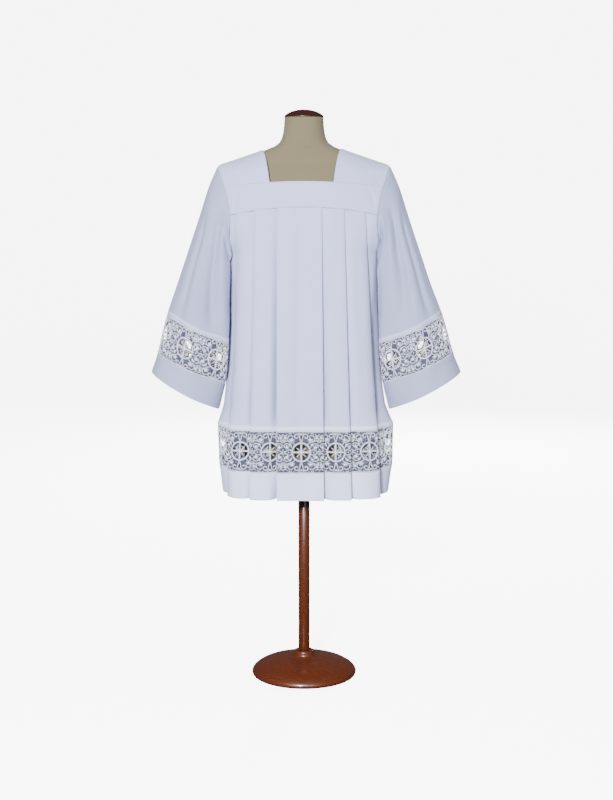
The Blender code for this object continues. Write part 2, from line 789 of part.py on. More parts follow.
def form_sections():
    """All the dress form's sections, with the shoulder line just under the cloth of the straps."""
    neck_end, tip = RIDGE[1], RIDGE[2]
    slope = (neck_end.height - tip.height) / (tip.side - neck_end.side)
    under = CLOTH_WALL * math.hypot(1, slope) + REST_GAP
    shoulders = [
        FormSection(float(ridge_height(section.half_width)) - under, section.half_width, section.half_depth)
        for section in SHOULDER_SECTIONS
    ]
    return [*FORM_SECTIONS, *shoulders, *NECK_SECTIONS]


def build_skirt(facing, name, folds, ring_side, cloth, lace, group):
    """One pleated half of the skirt: its panel, its lace and its hem."""
    add_sheet(f"body_{name}", panel_rows(facing, folds), cloth, group)
    sides = band_rows(facing, folds, LACE_TOP, LACE_BOTTOM)
    middle = sides.shape[2] // 2
    ring_at = column_lengths(sides[0])[middle] + ring_side - sides[0, :, middle, 0].mean()
    add_lace(f"lace_{name}", sides, ring_at, lace, group)
    add_sheet(f"hem_{name}", band_rows(facing, folds, LACE_BOTTOM, HEM), cloth, group)


def build_yoke(cloth, group):
    """The four pieces of the square yoke."""
    add_sheet("yoke_front", yoke_band_rows(FRONT, FRONT_YOKE_TOP, FRONT_YOKE_TOP_SAG), cloth, group)
    add_sheet("yoke_back", yoke_band_rows(BACK, BACK_YOKE_TOP, BACK_YOKE_TOP_SAG), cloth, group)
    for side, name in SIDE_NAMES.items():
        add_sheet(f"yoke_strap_{name}", strap_rows(side), cloth, group)


def build_sleeve(side, cloth, lace, group):
    """One sleeve: its long piece, two halves of lace and the plain cuff."""
    name = SIDE_NAMES[side]
    above, within = station_gap(LACE_TOP_STATION - 1), station_gap(LACE_TOP_STATION)
    below = station_gap(LACE_BOTTOM_STATION)
    rows = sleeve_rows(side, (*range(LACE_TOP_STATION), LACE_TOP_STATION - above))
    add_sheet(f"sleeve_{name}", rows, cloth, group, closed=True)
    ring = sleeve_rows(side, (LACE_TOP_STATION + within, LACE_BOTTOM_STATION - within))
    half = SLEEVE_PARTS_ROUND // 2
    for label, first in (("front", 0), ("back", half)):
        rows = ring[:, :, [(first + step) % SLEEVE_PARTS_ROUND for step in range(half + 1)]].copy()
        for end, inner in ((0, 1), (-1, -2)):
            along = rows[0, :, inner] - rows[0, :, end]
            rows[:, :, end] += along / np.linalg.norm(along, axis=1)[:, None] * SEAM_GAP / 2
        add_lace(f"sleeve_lace_{name}_{label}", rows, SLEEVE_RING_AT, lace, group)
    rows = sleeve_rows(side, (LACE_BOTTOM_STATION + below, CUFF_STATION))
    add_sheet(f"cuff_{name}", rows, cloth, group, closed=True)


def build_form(linen, wood, group):
    """The dress form with its wooden cap, pole and base."""
    sections = form_sections()
    add_loft("form_torso", sections, linen, group)
    add_turning("form_cap", CAP_PROFILE, wood, group)
    add_turning("form_base", BASE_PROFILE, wood, group)
    top = sections[0].height - SEAM_GAP
    bottom = BASE_PROFILE[0].height + SEAM_GAP
    corners = ((0.0, top), (POLE_RADIUS, top), (POLE_RADIUS, bottom), (0.0, bottom))
    add_turning("form_pole", [TurnedPoint(*corner) for corner in corners], wood, group)


def main():
    """Clears the scene and builds every piece."""
    for old in list(bpy.data.objects):
        bpy.data.objects.remove(old)
    group = bpy.data.collections.new("surplice on a dress form")
    bpy.context.scene.collection.children.link(group)
    cloth = material("white cotton blend", (0.80, 0.81, 0.86), 0.85)
    lace = material("white cotton lace", (0.82, 0.83, 0.86), 0.90)
    linen = material("natural linen", (0.44, 0.38, 0.29), 0.90)
    wood = material("varnished wood", (0.16, 0.045, 0.015), 0.30)
    build_yoke(cloth, group)
    build_skirt(FRONT, "front", FRONT_FOLDS, FRONT_RING_SIDE, cloth, lace, group)
    build_skirt(BACK, "back", BACK_FOLDS, BACK_RING_SIDE, cloth, lace, group)
    for side in SIDE_NAMES:
        build_sleeve(side, cloth, lace, group)
    build_form(linen, wood, group)


main()
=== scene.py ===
"""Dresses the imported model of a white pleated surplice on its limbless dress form.

Metres, +Z up. The garment's front faces -Y, and the origin is the middle of the stand's underside.
Every piece of cloth is a fine shell on the same named surfaces as the solids: level half ovals with
knife pleats below the yoke, an arch over the shoulders, and lofted sleeves. The lace is real openwork:
a net of small holes with raised cords, leaves and rings on it, laid along the folded cloth.
"""

from __future__ import annotations

import logging
import math
from dataclasses import dataclass, field
from enum import Enum
from typing import Any, ClassVar

import bmesh
import bpy
import numpy as np
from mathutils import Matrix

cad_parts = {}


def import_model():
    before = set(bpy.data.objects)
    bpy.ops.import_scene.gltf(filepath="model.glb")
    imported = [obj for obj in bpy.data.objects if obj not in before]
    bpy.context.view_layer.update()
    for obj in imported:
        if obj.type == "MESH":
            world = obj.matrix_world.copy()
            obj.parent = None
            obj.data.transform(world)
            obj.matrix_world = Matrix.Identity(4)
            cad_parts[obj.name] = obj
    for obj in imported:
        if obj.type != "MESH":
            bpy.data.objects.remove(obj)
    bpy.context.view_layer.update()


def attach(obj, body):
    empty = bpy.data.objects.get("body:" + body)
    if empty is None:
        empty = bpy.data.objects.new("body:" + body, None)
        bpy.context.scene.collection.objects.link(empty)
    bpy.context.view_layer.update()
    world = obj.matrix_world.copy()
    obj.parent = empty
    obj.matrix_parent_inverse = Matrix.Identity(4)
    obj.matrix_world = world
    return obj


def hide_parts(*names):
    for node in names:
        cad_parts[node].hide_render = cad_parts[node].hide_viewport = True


LOG = logging.getLogger("surplice")
Array = np.ndarray
Pair = tuple[float, float]
Triple = tuple[float, float, float]
Mesh = tuple[Array, Array]

WALL = 0.0012  # the solids' cloth wall, which spaces the folded layers
SHELL = 0.0008  # the cloth as drawn
REST_GAP = 0.0003
CHEST_HEIGHT, UNDERARM_HEIGHT = 1.300, 1.205
ARMHOLE_SIDE, ARMHOLE_LEAN, ARMHOLE_CURVE, ARMHOLE_GAP = 0.1995, 0.0390, 1.43, 0.0002
ARCH_POWER = 2.2
NECK_SHIFT, NECK_HALF_WIDTH_LOW, NECK_HALF_WIDTH_RIDGE = -0.006, 0.0855, 0.110
SAG_HALF_WIDTH = 0.200
YOKE_BOTTOM, YOKE_BOTTOM_SAG = 1.3340, 0.022
LACE_TOP, LACE_BOTTOM, HEM = 0.733, 0.617, 0.543
TURNED_STRIP, TURNED_LIFT, BAND_LIFT = 0.011, 0.0008, 0.0005
FULL_TURN = 2 * math.pi


class Facing(Enum):
    """Which half of the garment a piece belongs to; the value is the sign of its Y."""

    FRONT = -1
    BACK = 1


class Hand(Enum):
    """The viewer's left or right; the value is the sign of its X."""

    LEFT = -1
    RIGHT = 1


def linear(code: str) -> tuple[float, float, float, float]:
    """An sRGB hex colour as linear red, green, blue and alpha.

    Args:
        code: six hex digits with a leading hash.

    Returns:
        Four numbers from 0 to 1.
    """
    parts = np.array([int(code[at : at + 2], 16) for at in (1, 3, 5)]) / 255
    parts = np.where(parts <= 0.04045, parts / 12.92, ((parts + 0.055) / 1.055) ** 2.4)
    return (*(float(part) for part in parts), 1.0)


def add_node(
    tree: bpy.types.NodeTree,
    kind: str,
    settings: dict[str, Any] | None = None,
    inputs: dict[str | int, Any] | None = None,
) -> bpy.types.Node:
    """Adds a node with its settings, and fills its inputs with values or links.

    Args:
        tree: the material's nodes.
        kind: the node's type name.
        settings: properties of the node.
        inputs: value, or socket to link from, for each input by name or place.

    Returns:
        The new node.
    """
    node = tree.nodes.new(kind)
    for name, value in (settings or {}).items():
        setattr(node, name, value)
    for name, value in (inputs or {}).items():
        if isinstance(value, bpy.types.NodeSocket):
            tree.links.new(value, node.inputs[name])
        else:
            node.inputs[name].default_value = value
    return node


def glide(at: Array, stops: Array, values: Array) -> Array:
    """A smooth line through table values that never overshoots them.

    Each stretch is a cubic whose slope at a stop is the weighted harmonic mean of the slopes on its
    two sides, or level where they differ in sign.

    Args:
        at: places to read.
        stops: rising places of the table.
        values: one row of values for each stop.

    Returns:
        The values at those places.
    """
    flat = values.reshape(len(stops), -1)
    steps = np.diff(stops)[:, None].astype(float)
    slopes = np.diff(flat, axis=0) / steps
    before, after = 2 * steps[1:] + steps[:-1], steps[1:] + 2 * steps[:-1]
    same = slopes[:-1] * slopes[1:] > 0
    low_slope, high_slope = np.where(same, slopes[:-1], 1.0), np.where(same, slopes[1:], 1.0)
    middle = np.where(same, (before + after) / (before / low_slope + after / high_slope), 0.0)
    tangents = np.concatenate([slopes[:1], middle, slopes[-1:]])
    at = np.clip(at, stops[0], stops[-1])
    low = np.clip(np.searchsorted(stops, at, side="right") - 1, 0, len(steps) - 1)
    span = steps[low]
    share = (at - stops[low])[:, None] / span
    start, end = (1 + 2 * share) * (1 - share) ** 2, share**2 * (3 - 2 * share)
    lead, trail = share * (1 - share) ** 2 * span, share**2 * (share - 1) * span
    out = start * flat[low] + end * flat[low + 1] + lead * tangents[low] + trail * tangents[low + 1]
    return out.reshape(at.shape + values.shape[1:])


def blend(first: Array, second: Array, share: Array | float) -> Array:
    """From the first at share nought evenly to the second at share one."""
    return first * (1 - share) + second * share


def rounded(share: Array, power: float) -> Array:
    """The other coordinate of a rounded oval: one less the share to a power, to one over that power."""
    return (1 - np.clip(np.abs(share), 0, 1) ** power) ** (1 / power)


def oval(power: float, sides: int) -> tuple[Array, Array]:
    """A unit oval's two coordinates: cosine and sine, their sizes to two over the power."""
    turn = np.linspace(0, FULL_TURN, sides, endpoint=False)
    return tuple(np.sign(wave) * np.abs(wave) ** (2 / power) for wave in (np.cos(turn), np.sin(turn)))


def unit(ways: Array, least: float = 1e-9) -> Array:
    """Directions over their own lengths, or over the least length where they are shorter."""
    return ways / np.maximum(np.linalg.norm(ways, axis=-1, keepdims=True), least)


def bump(distance: Array, width: float) -> Array:
    """A soft bell: one on the line, falling off with the square of distance over width."""
    return np.exp(-((distance / width) ** 2))


def soft_step(distance: Array, width: float = 0.0006) -> Array:
    """A soft step: one well below nought and nothing well above it, over about four widths."""
    return 0.5 - 0.5 * np.tanh(distance / (2 * width))


def lengths(line: Array) -> Array:
    """Length along a line, from its first point to each."""
    return np.concatenate([[0], np.cumsum(np.linalg.norm(np.diff(line, axis=0), axis=1))])


def read_at(line: Array, run: Array, at: Array) -> Array:
    """A line's points at these lengths, straight between the ones it has."""
    return np.stack([np.interp(at, run, column) for column in line.T], axis=-1)


def from_north(degrees: Array) -> Array:
    """Degrees brought to between minus and plus a half turn."""
    return (degrees + 180) % 360 - 180


def make_object(name: str, points: Array, faces: Array, uv: Array | None = None) -> bpy.types.Object:
    """A mesh object at the origin from whole arrays.

    Args:
        name: the piece's name.
        points: (count, 3) places.
        faces: (count, 3 or 4) point numbers.
        uv: (count of faces, corners, 2) map in metres along the cloth, or none.

    Returns:
        The object, linked into the scene and shaded smooth.
    """
    mesh = bpy.data.meshes.new(name)
    count, corners = faces.shape
    mesh.vertices.add(len(points))
    mesh.vertices.foreach_set("co", np.ascontiguousarray(points, np.float32).ravel())
    mesh.loops.add(faces.size)
    mesh.loops.foreach_set("vertex_index", faces.astype(np.int32).ravel())
    mesh.polygons.add(count)
    mesh.polygons.foreach_set("loop_start", np.arange(0, faces.size, corners, dtype=np.int32))
    mesh.polygons.foreach_set("loop_total", np.full(count, corners, np.int32))
    mesh.polygons.foreach_set("use_smooth", np.ones(count, bool))
    if uv is not None:
        layer = mesh.uv_layers.new(name="cloth")
        layer.data.foreach_set("uv", np.ascontiguousarray(uv, np.float32).ravel())
    mesh.update(calc_edges=True)
    mesh.validate()
    piece = bpy.data.objects.new(name, mesh)
    bpy.context.scene.collection.objects.link(piece)
    return piece


def dress(
    piece: bpy.types.Object, finish: bpy.types.Material, stands_for: tuple[str, ...] = ()
) -> bpy.types.Object:
    """Gives a piece its finish and slot, lets it ride on the root, and hides the nodes it stands for.

    Args:
        piece: the object.
        finish: its material.
        stands_for: names of the nodes that it replaces.

    Returns:
        The same object.
    """
    piece.data.materials.append(finish)
    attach(piece, "root")
    if stands_for:
        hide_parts(*stands_for)
    LOG.info("%s: %d faces", piece.name, len(piece.data.polygons))
    return piece


def weave(tree: bpy.types.NodeTree, pitch: float) -> tuple[bpy.types.NodeSocket, bpy.types.NodeSocket]:
    """Threads over and under, as sine times sine on the cloth's own map.

    Args:
        tree: the material's nodes.
        pitch: distance between two threads.

    Returns:
        The place on the map, and the height of the weave.
    """
    place = add_node(tree, "ShaderNodeUVMap", {"uv_map": "cloth"}).outputs[0]
    axes = add_node(tree, "ShaderNodeSeparateXYZ", None, {0: place}).outputs
    waves = {}
    for axis in (0, 1):
        inputs = {0: axes[axis], 1: math.pi / pitch}
        turns = add_node(tree, "ShaderNodeMath", {"operation": "MULTIPLY"}, inputs).outputs[0]
        waves[axis] = add_node(tree, "ShaderNodeMath", {"operation": "SINE"}, {0: turns}).outputs[0]
    return place, add_node(tree, "ShaderNodeMath", {"operation": "MULTIPLY"}, waves).outputs[0]


@dataclass(frozen=True)
class Finish:
    """A material of the real thing: two colours mixed by a pattern, with relief in the shading."""

    name: str
    light: str
    dark: str
    roughness: float
    numbers: ClassVar[dict[str, float]] = {}

    def pattern(self, tree: bpy.types.NodeTree) -> tuple[bpy.types.NodeSocket, dict[str, Any]]:
        """The light colour's share, and the inputs of the bump."""
        raise NotImplementedError

    def material(self) -> bpy.types.Material:
        """The pattern's mix and bump on one shader, whose uniform numbers stand on its own sockets.

        Returns:
            The material.
        """
        made = bpy.data.materials.new(self.name)
        made.use_nodes = True
        tree = made.node_tree
        shader = tree.nodes["Principled BSDF"]
        share, relief = self.pattern(tree)
        mix = {0: share, 6: linear(self.dark), 7: linear(self.light)}
        colour = add_node(tree, "ShaderNodeMix", {"data_type": "RGBA"}, mix)
        tree.links.new(colour.outputs[2], shader.inputs["Base Color"])
        tree.links.new(add_node(tree, "ShaderNodeBump", None, relief).outputs[0], shader.inputs["Normal"])
        for name, value in {"Roughness": self.roughness, **self.numbers}.items():
            shader.inputs[name].default_value = value
        return made


@dataclass(frozen=True)
class WovenCloth(Finish):
    """Smooth poly-cotton in a plain weave: matt white with a cool cast, a faint sheen at the edges.

    The real threads are 0.25 mm apart, too fine to show, so they are drawn at `pitch`.
    """

    pitch: float = 0.0011
    numbers: ClassVar[dict[str, float]] = {
        "IOR": 1.5, "Specular IOR Level": 0.25, "Sheen Weight": 0.18, "Sheen Roughness": 0.5,
    }

    def pattern(self, tree: bpy.types.NodeTree) -> tuple[bpy.types.NodeSocket, dict[str, Any]]:
        """Slow soft mottling for the colour and for rumples, which the weave lies on.

        Args:
            tree: the material's nodes.

        Returns:
            The light colour's share, and the inputs of the bump.
        """
        place = add_node(tree, "ShaderNodeTexCoord").outputs["Object"]
        grain = {"Vector": place, "Scale": 14.0, "Detail": 3.0, "Roughness": 0.5}
        mottle = add_node(tree, "ShaderNodeTexNoise", None, grain).outputs[0]
        soft = {"Strength": 0.25, "Distance": 0.0015, "Height": mottle}
        rumple = add_node(tree, "ShaderNodeBump", None, soft).outputs[0]
        height = weave(tree, self.pitch)[1]
        return mottle, {"Strength": 0.10, "Distance": 0.0003, "Height": height, "Normal": rumple}


@dataclass(frozen=True)
class CottonCord(Finish):
    """Mercerised cotton thread of machine lace or of sewing: soft, with a slight lustre.

    Its twist is drawn as noise of about 1.5 mm, since a 0.2 mm strand is too fine to show.
    """

    numbers: ClassVar[dict[str, float]] = {"Sheen Weight": 0.1}

    def pattern(self, tree: bpy.types.NodeTree) -> tuple[bpy.types.NodeSocket, dict[str, Any]]:
        """One fine noise for the colour and the twist.

        Args:
            tree: the material's nodes.

        Returns:
            The light colour's share, and the inputs of the bump.
        """
        place = add_node(tree, "ShaderNodeTexCoord").outputs["Object"]
        fine = {"Vector": place, "Scale": 650.0, "Detail": 2.0}
        grain = add_node(tree, "ShaderNodeTexNoise", None, fine).outputs[0]
        return grain, {"Strength": 0.3, "Distance": 0.0003, "Height": grain}


@dataclass(frozen=True)
class BustLinen(Finish):
    """Natural linen glued over a padded bust: beige-grey, matt, with thick and thin yarns.

    The real yarns are about 0.6 mm apart and are drawn at `pitch`, so that the weave just shows.
    """

    pitch: float = 0.0013
    numbers: ClassVar[dict[str, float]] = {"Specular IOR Level": 0.2, "Sheen Weight": 0.08}

    def pattern(self, tree: bpy.types.NodeTree) -> tuple[bpy.types.NodeSocket, dict[str, Any]]:
        """The weave, broken by long stretched noise for the thick yarns.

        Args:
            tree: the material's nodes.

        Returns:
            The light colour's share, and the inputs of the bump.
        """
        place, threads = weave(tree, self.pitch)
        long = {"Vector": place, "Scale": (60.0, 900.0, 1.0)}
        stretched = add_node(tree, "ShaderNodeMapping", None, long).outputs[0]
        yarn = {"Vector": stretched, "Scale": 1.0, "Detail": 3.0}
        slubs = add_node(tree, "ShaderNodeTexNoise", None, yarn).outputs[0]
        height = add_node(tree, "ShaderNodeMath", {"operation": "ADD"}, {0: threads, 1: slubs}).outputs[0]
        span = {"Value": height, "From Min": -0.6, "From Max": 1.5}
        share = add_node(tree, "ShaderNodeMapRange", None, span).outputs[0]
        return share, {"Strength": 0.35, "Distance": 0.0004, "Height": height}


@dataclass(frozen=True)
class VarnishedWood(Finish):
    """Turned hardwood, stained and varnished: warm brown grain under a clear gloss coat.

    Growth lines are 3 to 6 mm apart and the pores run along the grain, drawn about 0.6 mm wide.
    """

    stretch: Triple = (1.0, 1.0, 1.0)
    numbers: ClassVar[dict[str, float]] = {"Coat Weight": 0.5, "Coat Roughness": 0.16}

    def pattern(self, tree: bpy.types.NodeTree) -> tuple[bpy.types.NodeSocket, dict[str, Any]]:
        """Wavy bands times pore noise, both stretched along the grain.

        Args:
            tree: the material's nodes.

        Returns:
            The light colour's share, and the inputs of the bump.
        """
        place = add_node(tree, "ShaderNodeTexCoord").outputs["Object"]
        grain = {"Vector": place, "Scale": self.stretch}
        run = add_node(tree, "ShaderNodeMapping", None, grain).outputs[0]
        bands = {"wave_type": "BANDS", "bands_direction": "DIAGONAL"}
        wavy = {"Vector": run, "Scale": 0.8, "Distortion": 7.0, "Detail": 3.0, "Detail Scale": 0.9}
        growth = add_node(tree, "ShaderNodeTexWave", bands, wavy).outputs["Fac"]
        fine = {"Vector": run, "Scale": 11.0, "Detail": 4.0, "Roughness": 0.65}
        pores = add_node(tree, "ShaderNodeTexNoise", None, fine).outputs[0]
        both = add_node(tree, "ShaderNodeMath", {"operation": "MULTIPLY"}, {0: growth, 1: pores})
        span = {"Value": both.outputs[0], "From Min": 0.05, "From Max": 0.5}
        share = add_node(tree, "ShaderNodeMapRange", None, span).outputs[0]
        return share, {"Strength": 0.08, "Distance": 0.0003, "Height": pores}


@dataclass(frozen=True)
class PaperSweep:
    """Matt white background paper, evenly lit."""

    name: str = "matt background paper"
    colour: str = "#F6F6F7"
    glow: float = 6.5

    def material(self) -> bpy.types.Material:
        """One colour, fully rough, which glows as brightly as lit paper.

        Returns:
            The material.
        """
        made = bpy.data.materials.new(self.name)
        made.use_nodes = True
        inputs = made.node_tree.nodes["Principled BSDF"].inputs
        inputs["Base Color"].default_value = linear(self.colour)
        inputs["Roughness"].default_value = 1.0
        inputs["Specular IOR Level"].default_value = 0.0
        inputs["Emission Color"].default_value = linear("#FFFFFF")
        inputs["Emission Strength"].default_value = self.glow
        return made


class Stuff(Enum):
    """What the pieces are made of; cloth is paler where it is laid double, and darker as painted shade on
    the sleeves and in the lace net.
    """

    CLOTH = WovenCloth("poly-cotton plain weave", "#C2C7E2", "#B8BDDB", 0.82)
    # The sleeves' and cuffs' cloth is darker than the body's: painted shade of sleeves that turn away from
    # the light.
    SINGLE = WovenCloth("poly-cotton plain weave, painted shade", "#A5AAC2", "#9BA0BA", 0.82)
    DOUBLED = WovenCloth("poly-cotton plain weave, doubled", "#E0E4F8", "#D7DBF3", 0.82)
    LACE = CottonCord("mercerised cotton lace cord", "#E9EAF0", "#D6D8E2", 0.68)
    # The net is white cotton; its dark grey is painted shade, standing for the shadowed inside of the
    # garment seen through its holes.
    NET = CottonCord("fine cotton lace net, painted shade", "#4B4F63", "#3A3E50", 0.75)
    THREAD = CottonCord("cotton sewing thread", "#F6F6FC", "#D4D7E4", 0.6)
    LINEN = BustLinen("natural linen", "#7F7558", "#625940", 0.9)
    CAP_WOOD = VarnishedWood(
        "mahogany-stained beech", "#421B0D", "#250D06", 0.38, stretch=(160.0, 24.0, 60.0)
    )
    BASE_WOOD = VarnishedWood(
        "varnished walnut-stained beech", "#683010", "#361306", 0.38, stretch=(30.0, 150.0, 150.0)
    )


Finishes = dict[Stuff, bpy.types.Material]


@dataclass
class Surface:
    """A sheet of cloth on a grid of points, with rows down it and columns across it.

    `inside` is a point, or one for each row, that the sheet's outer side faces away from.
    """

    points: Array
    inside: Array
    closed: bool = False

    def __post_init__(self) -> None:
        """Works out the unit normals, which point outwards on the whole."""
        if self.closed:
            across = np.roll(self.points, -1, axis=1) - np.roll(self.points, 1, axis=1)
        else:
            across = np.gradient(self.points, axis=1)
        normals = unit(np.cross(across, np.gradient(self.points, axis=0)), 1e-12)
        self.turned = float((normals * (self.points - self.inside)).sum()) < 0
        self.normals = -normals if self.turned else normals

    def raised(self, lift: Array | float) -> Surface:
        """The same sheet moved along its normals, each point by its own lift."""
        lift = np.broadcast_to(lift, self.points.shape[:2])[..., None]
        return Surface(self.points + self.normals * lift, self.inside, self.closed)

    def joined(self, grid: Array) -> Array:
        """A grid with its first column repeated at its end, if the sheet is closed."""
        return np.concatenate([grid, grid[:, :1]], axis=1) if self.closed else grid

    def run(self) -> tuple[Array, Array]:
        """Length along each row and down each column, from their first points, as two grids.

        Returns:
            Two grids of lengths, as wide as the joined sheet.
        """
        points = self.joined(self.points)
        across = np.linalg.norm(np.diff(points, axis=1), axis=2)
        down = np.linalg.norm(np.diff(points, axis=0), axis=2)
        along = np.pad(np.cumsum(across, axis=1), ((0, 0), (1, 0)))
        return along, np.pad(np.cumsum(down, axis=0), ((1, 0), (0, 0)))

    def faces(self) -> Mesh:
        """Point numbers and map places of every four-sided face.

        Returns:
            (count, 4) numbers and (count, 4, 2) places.
        """
        rows, columns = self.points.shape[:2]
        row, column = np.meshgrid(np.arange(rows - 1), np.arange(columns - 1 + self.closed), indexing="ij")
        along, below = self.run()
        where = np.stack(np.broadcast_arrays(along.mean(axis=0), below.mean(axis=1, keepdims=True)), axis=-1)
        steps = ((0, 0), (0, 1), (1, 1), (1, 0))
        corners = np.stack([(row + low) * columns + (column + far) % columns for low, far in steps], axis=-1)
        uv = np.stack([where[row + low, column + far] for low, far in steps], axis=-2)
        order = slice(None, None, -1 if self.turned else 1)
        return corners.reshape(-1, 4)[:, order], uv.reshape(-1, 4, 2)[:, order]

    def piece(self, name: str, thickness: float = SHELL) -> bpy.types.Object:
        """The sheet as a thin shell: its outer side on the grid, and its wall inside it.

        Args:
            name: the piece's name.
            thickness: the wall, or nought for none.

        Returns:
            The object.
        """
        made = make_object(name, self.points.reshape(-1, 3), *self.faces())
        if thickness:
            wall = made.modifiers.new("cloth", "SOLIDIFY")
            wall.thickness = thickness
            wall.offset = -1.0
        return made

    def line(self, distance: float) -> tuple[Array, Array]:
        """Points and normals along a line across the sheet.

        Args:
            distance: how far down the middle column; a negative one counts up from below.

        Returns:
            Two arrays of rows.
        """
        below = self.run()[1][:, self.points.shape[1] // 2]
        at = distance if distance >= 0 else below[-1] + distance
        row = float(np.interp(at, below, np.arange(len(below))))
        low = min(int(row), len(self.points) - 2)
        return tuple(blend(grid[low], grid[low + 1], row - low) for grid in (self.points, self.normals))


@dataclass(frozen=True)
class Sewing:
    """Rows of lockstitches: each a small spindle of thread lying on the cloth."""

    pitch: float = 0.0030
    length: float = 0.0023
    half_width: float = 0.00028
    rise: float = 0.00032
    shape: tuple[tuple[int, int, int], ...] = (
        (4, 2, 0), (4, 1, 2), (4, 3, 1), (4, 0, 3), (5, 0, 2), (5, 2, 1), (5, 1, 3), (5, 3, 0),
    )

    def spindles(self, line: Array, normals: Array) -> Array:
        """Stitches at even steps along a line: two ends, two sides, a top and a foot each.

        Args:
            line: points along the seam.
            normals: the cloth's normals there.

        Returns:
            Six points for each stitch.
        """
        run = lengths(line)
        at = np.arange(self.pitch, run[-1] - self.pitch / 2, self.pitch)
        half = self.length / 2
        middle = read_at(line, run, at)
        along = unit(read_at(line, run, at + half) - read_at(line, run, at - half))
        up = unit(read_at(normals, run, at))
        side = np.cross(along, up) * self.half_width
        moves = (-along * half, along * half, side, -side, up * self.rise, -up * self.rise / 2)
        return np.stack([middle + move for move in moves], axis=1)

    def mesh(self, lines: list[tuple[Array, Array]]) -> Mesh:
        """Points and triangles of the stitches along all these lines.

        Args:
            lines: points and normals of each row of stitches.

        Returns:
            The stitches' mesh.
        """
        corners = np.concatenate([self.spindles(*line) for line in lines])
        faces = np.array(self.shape)[None] + 6 * np.arange(len(corners))[:, None, None]
        return corners.reshape(-1, 3), faces.reshape(-1, 3)


@dataclass(frozen=True)
class SewnSheet:
    """A cut piece of cloth: its names, what it is made of, and what holds it."""

    name: str
    stitches: str
    node: str
    stuff: Stuff
    held: str
    rests_on: str

    def build(self, sheet: Surface, seams: tuple[float, ...] | list, finishes: Finishes) -> bpy.types.Object:
        """Args:
            sheet: the cloth's surface.
            seams: how far down the sheet each row lies, or the rows' own points and normals.
            finishes: every material.

        Returns:
            The cloth.
        """
        lines = [sheet.line(seam) if isinstance(seam, float) else seam for seam in seams]
        cloth = dress(sheet.piece(self.name), finishes[self.stuff], (self.node,))
        threads = dress(make_object(self.stitches, *Sewing().mesh(lines)), finishes[Stuff.THREAD])
        return cloth


def double_edge(piece: bpy.types.Object, count: int, finish: bpy.types.Material) -> None:
    """Gives a sheet's last faces, which are its turned-up lower edge, the finish of cloth laid double.

    Args:
        piece: the sheet, with its faces row by row from the top.
        count: how many faces the turned edge has.
        finish: the doubled cloth.
    """
    piece.data.materials.append(finish)
    index = np.zeros(len(piece.data.polygons), np.int32)
    index[-count:] = 1
    piece.data.polygons.foreach_set("material_index", index)


@dataclass(frozen=True)
class Crease:
    """A soft trough, or a ridge if its depth is negative, along a straight line on a sheet.

    It starts and ends at (across, down) places in the sheet's own units, and fades out at its ends.
    """

    start: Pair
    end: Pair
    depth: float
    width: float

    def depth_at(self, across: Array, down: Array) -> Array:
        """Depth times a bell of the distance from the line, times a level-topped fade along it.

        Args:
            across: places across the sheet.
            down: places down it.

        Returns:
            The depth at each place.
        """
        run = np.subtract(self.end, self.start)
        size = float(np.hypot(*run))
        offset = (across - self.start[0], down - self.start[1])
        share = (offset[0] * run[0] + offset[1] * run[1]) / size**2
        away = (offset[0] * run[1] - offset[1] * run[0]) / size
        fade = soft_step(0.12 - share, 0.07) * soft_step(share - 0.88, 0.07)
        return self.depth * bump(away, self.width) * fade


def creases_at(creases: tuple[Crease, ...], across: Array, down: Array) -> Array:
    """The sum of the creases' depths at each place."""
    return sum(crease.depth_at(across, down) for crease in creases)


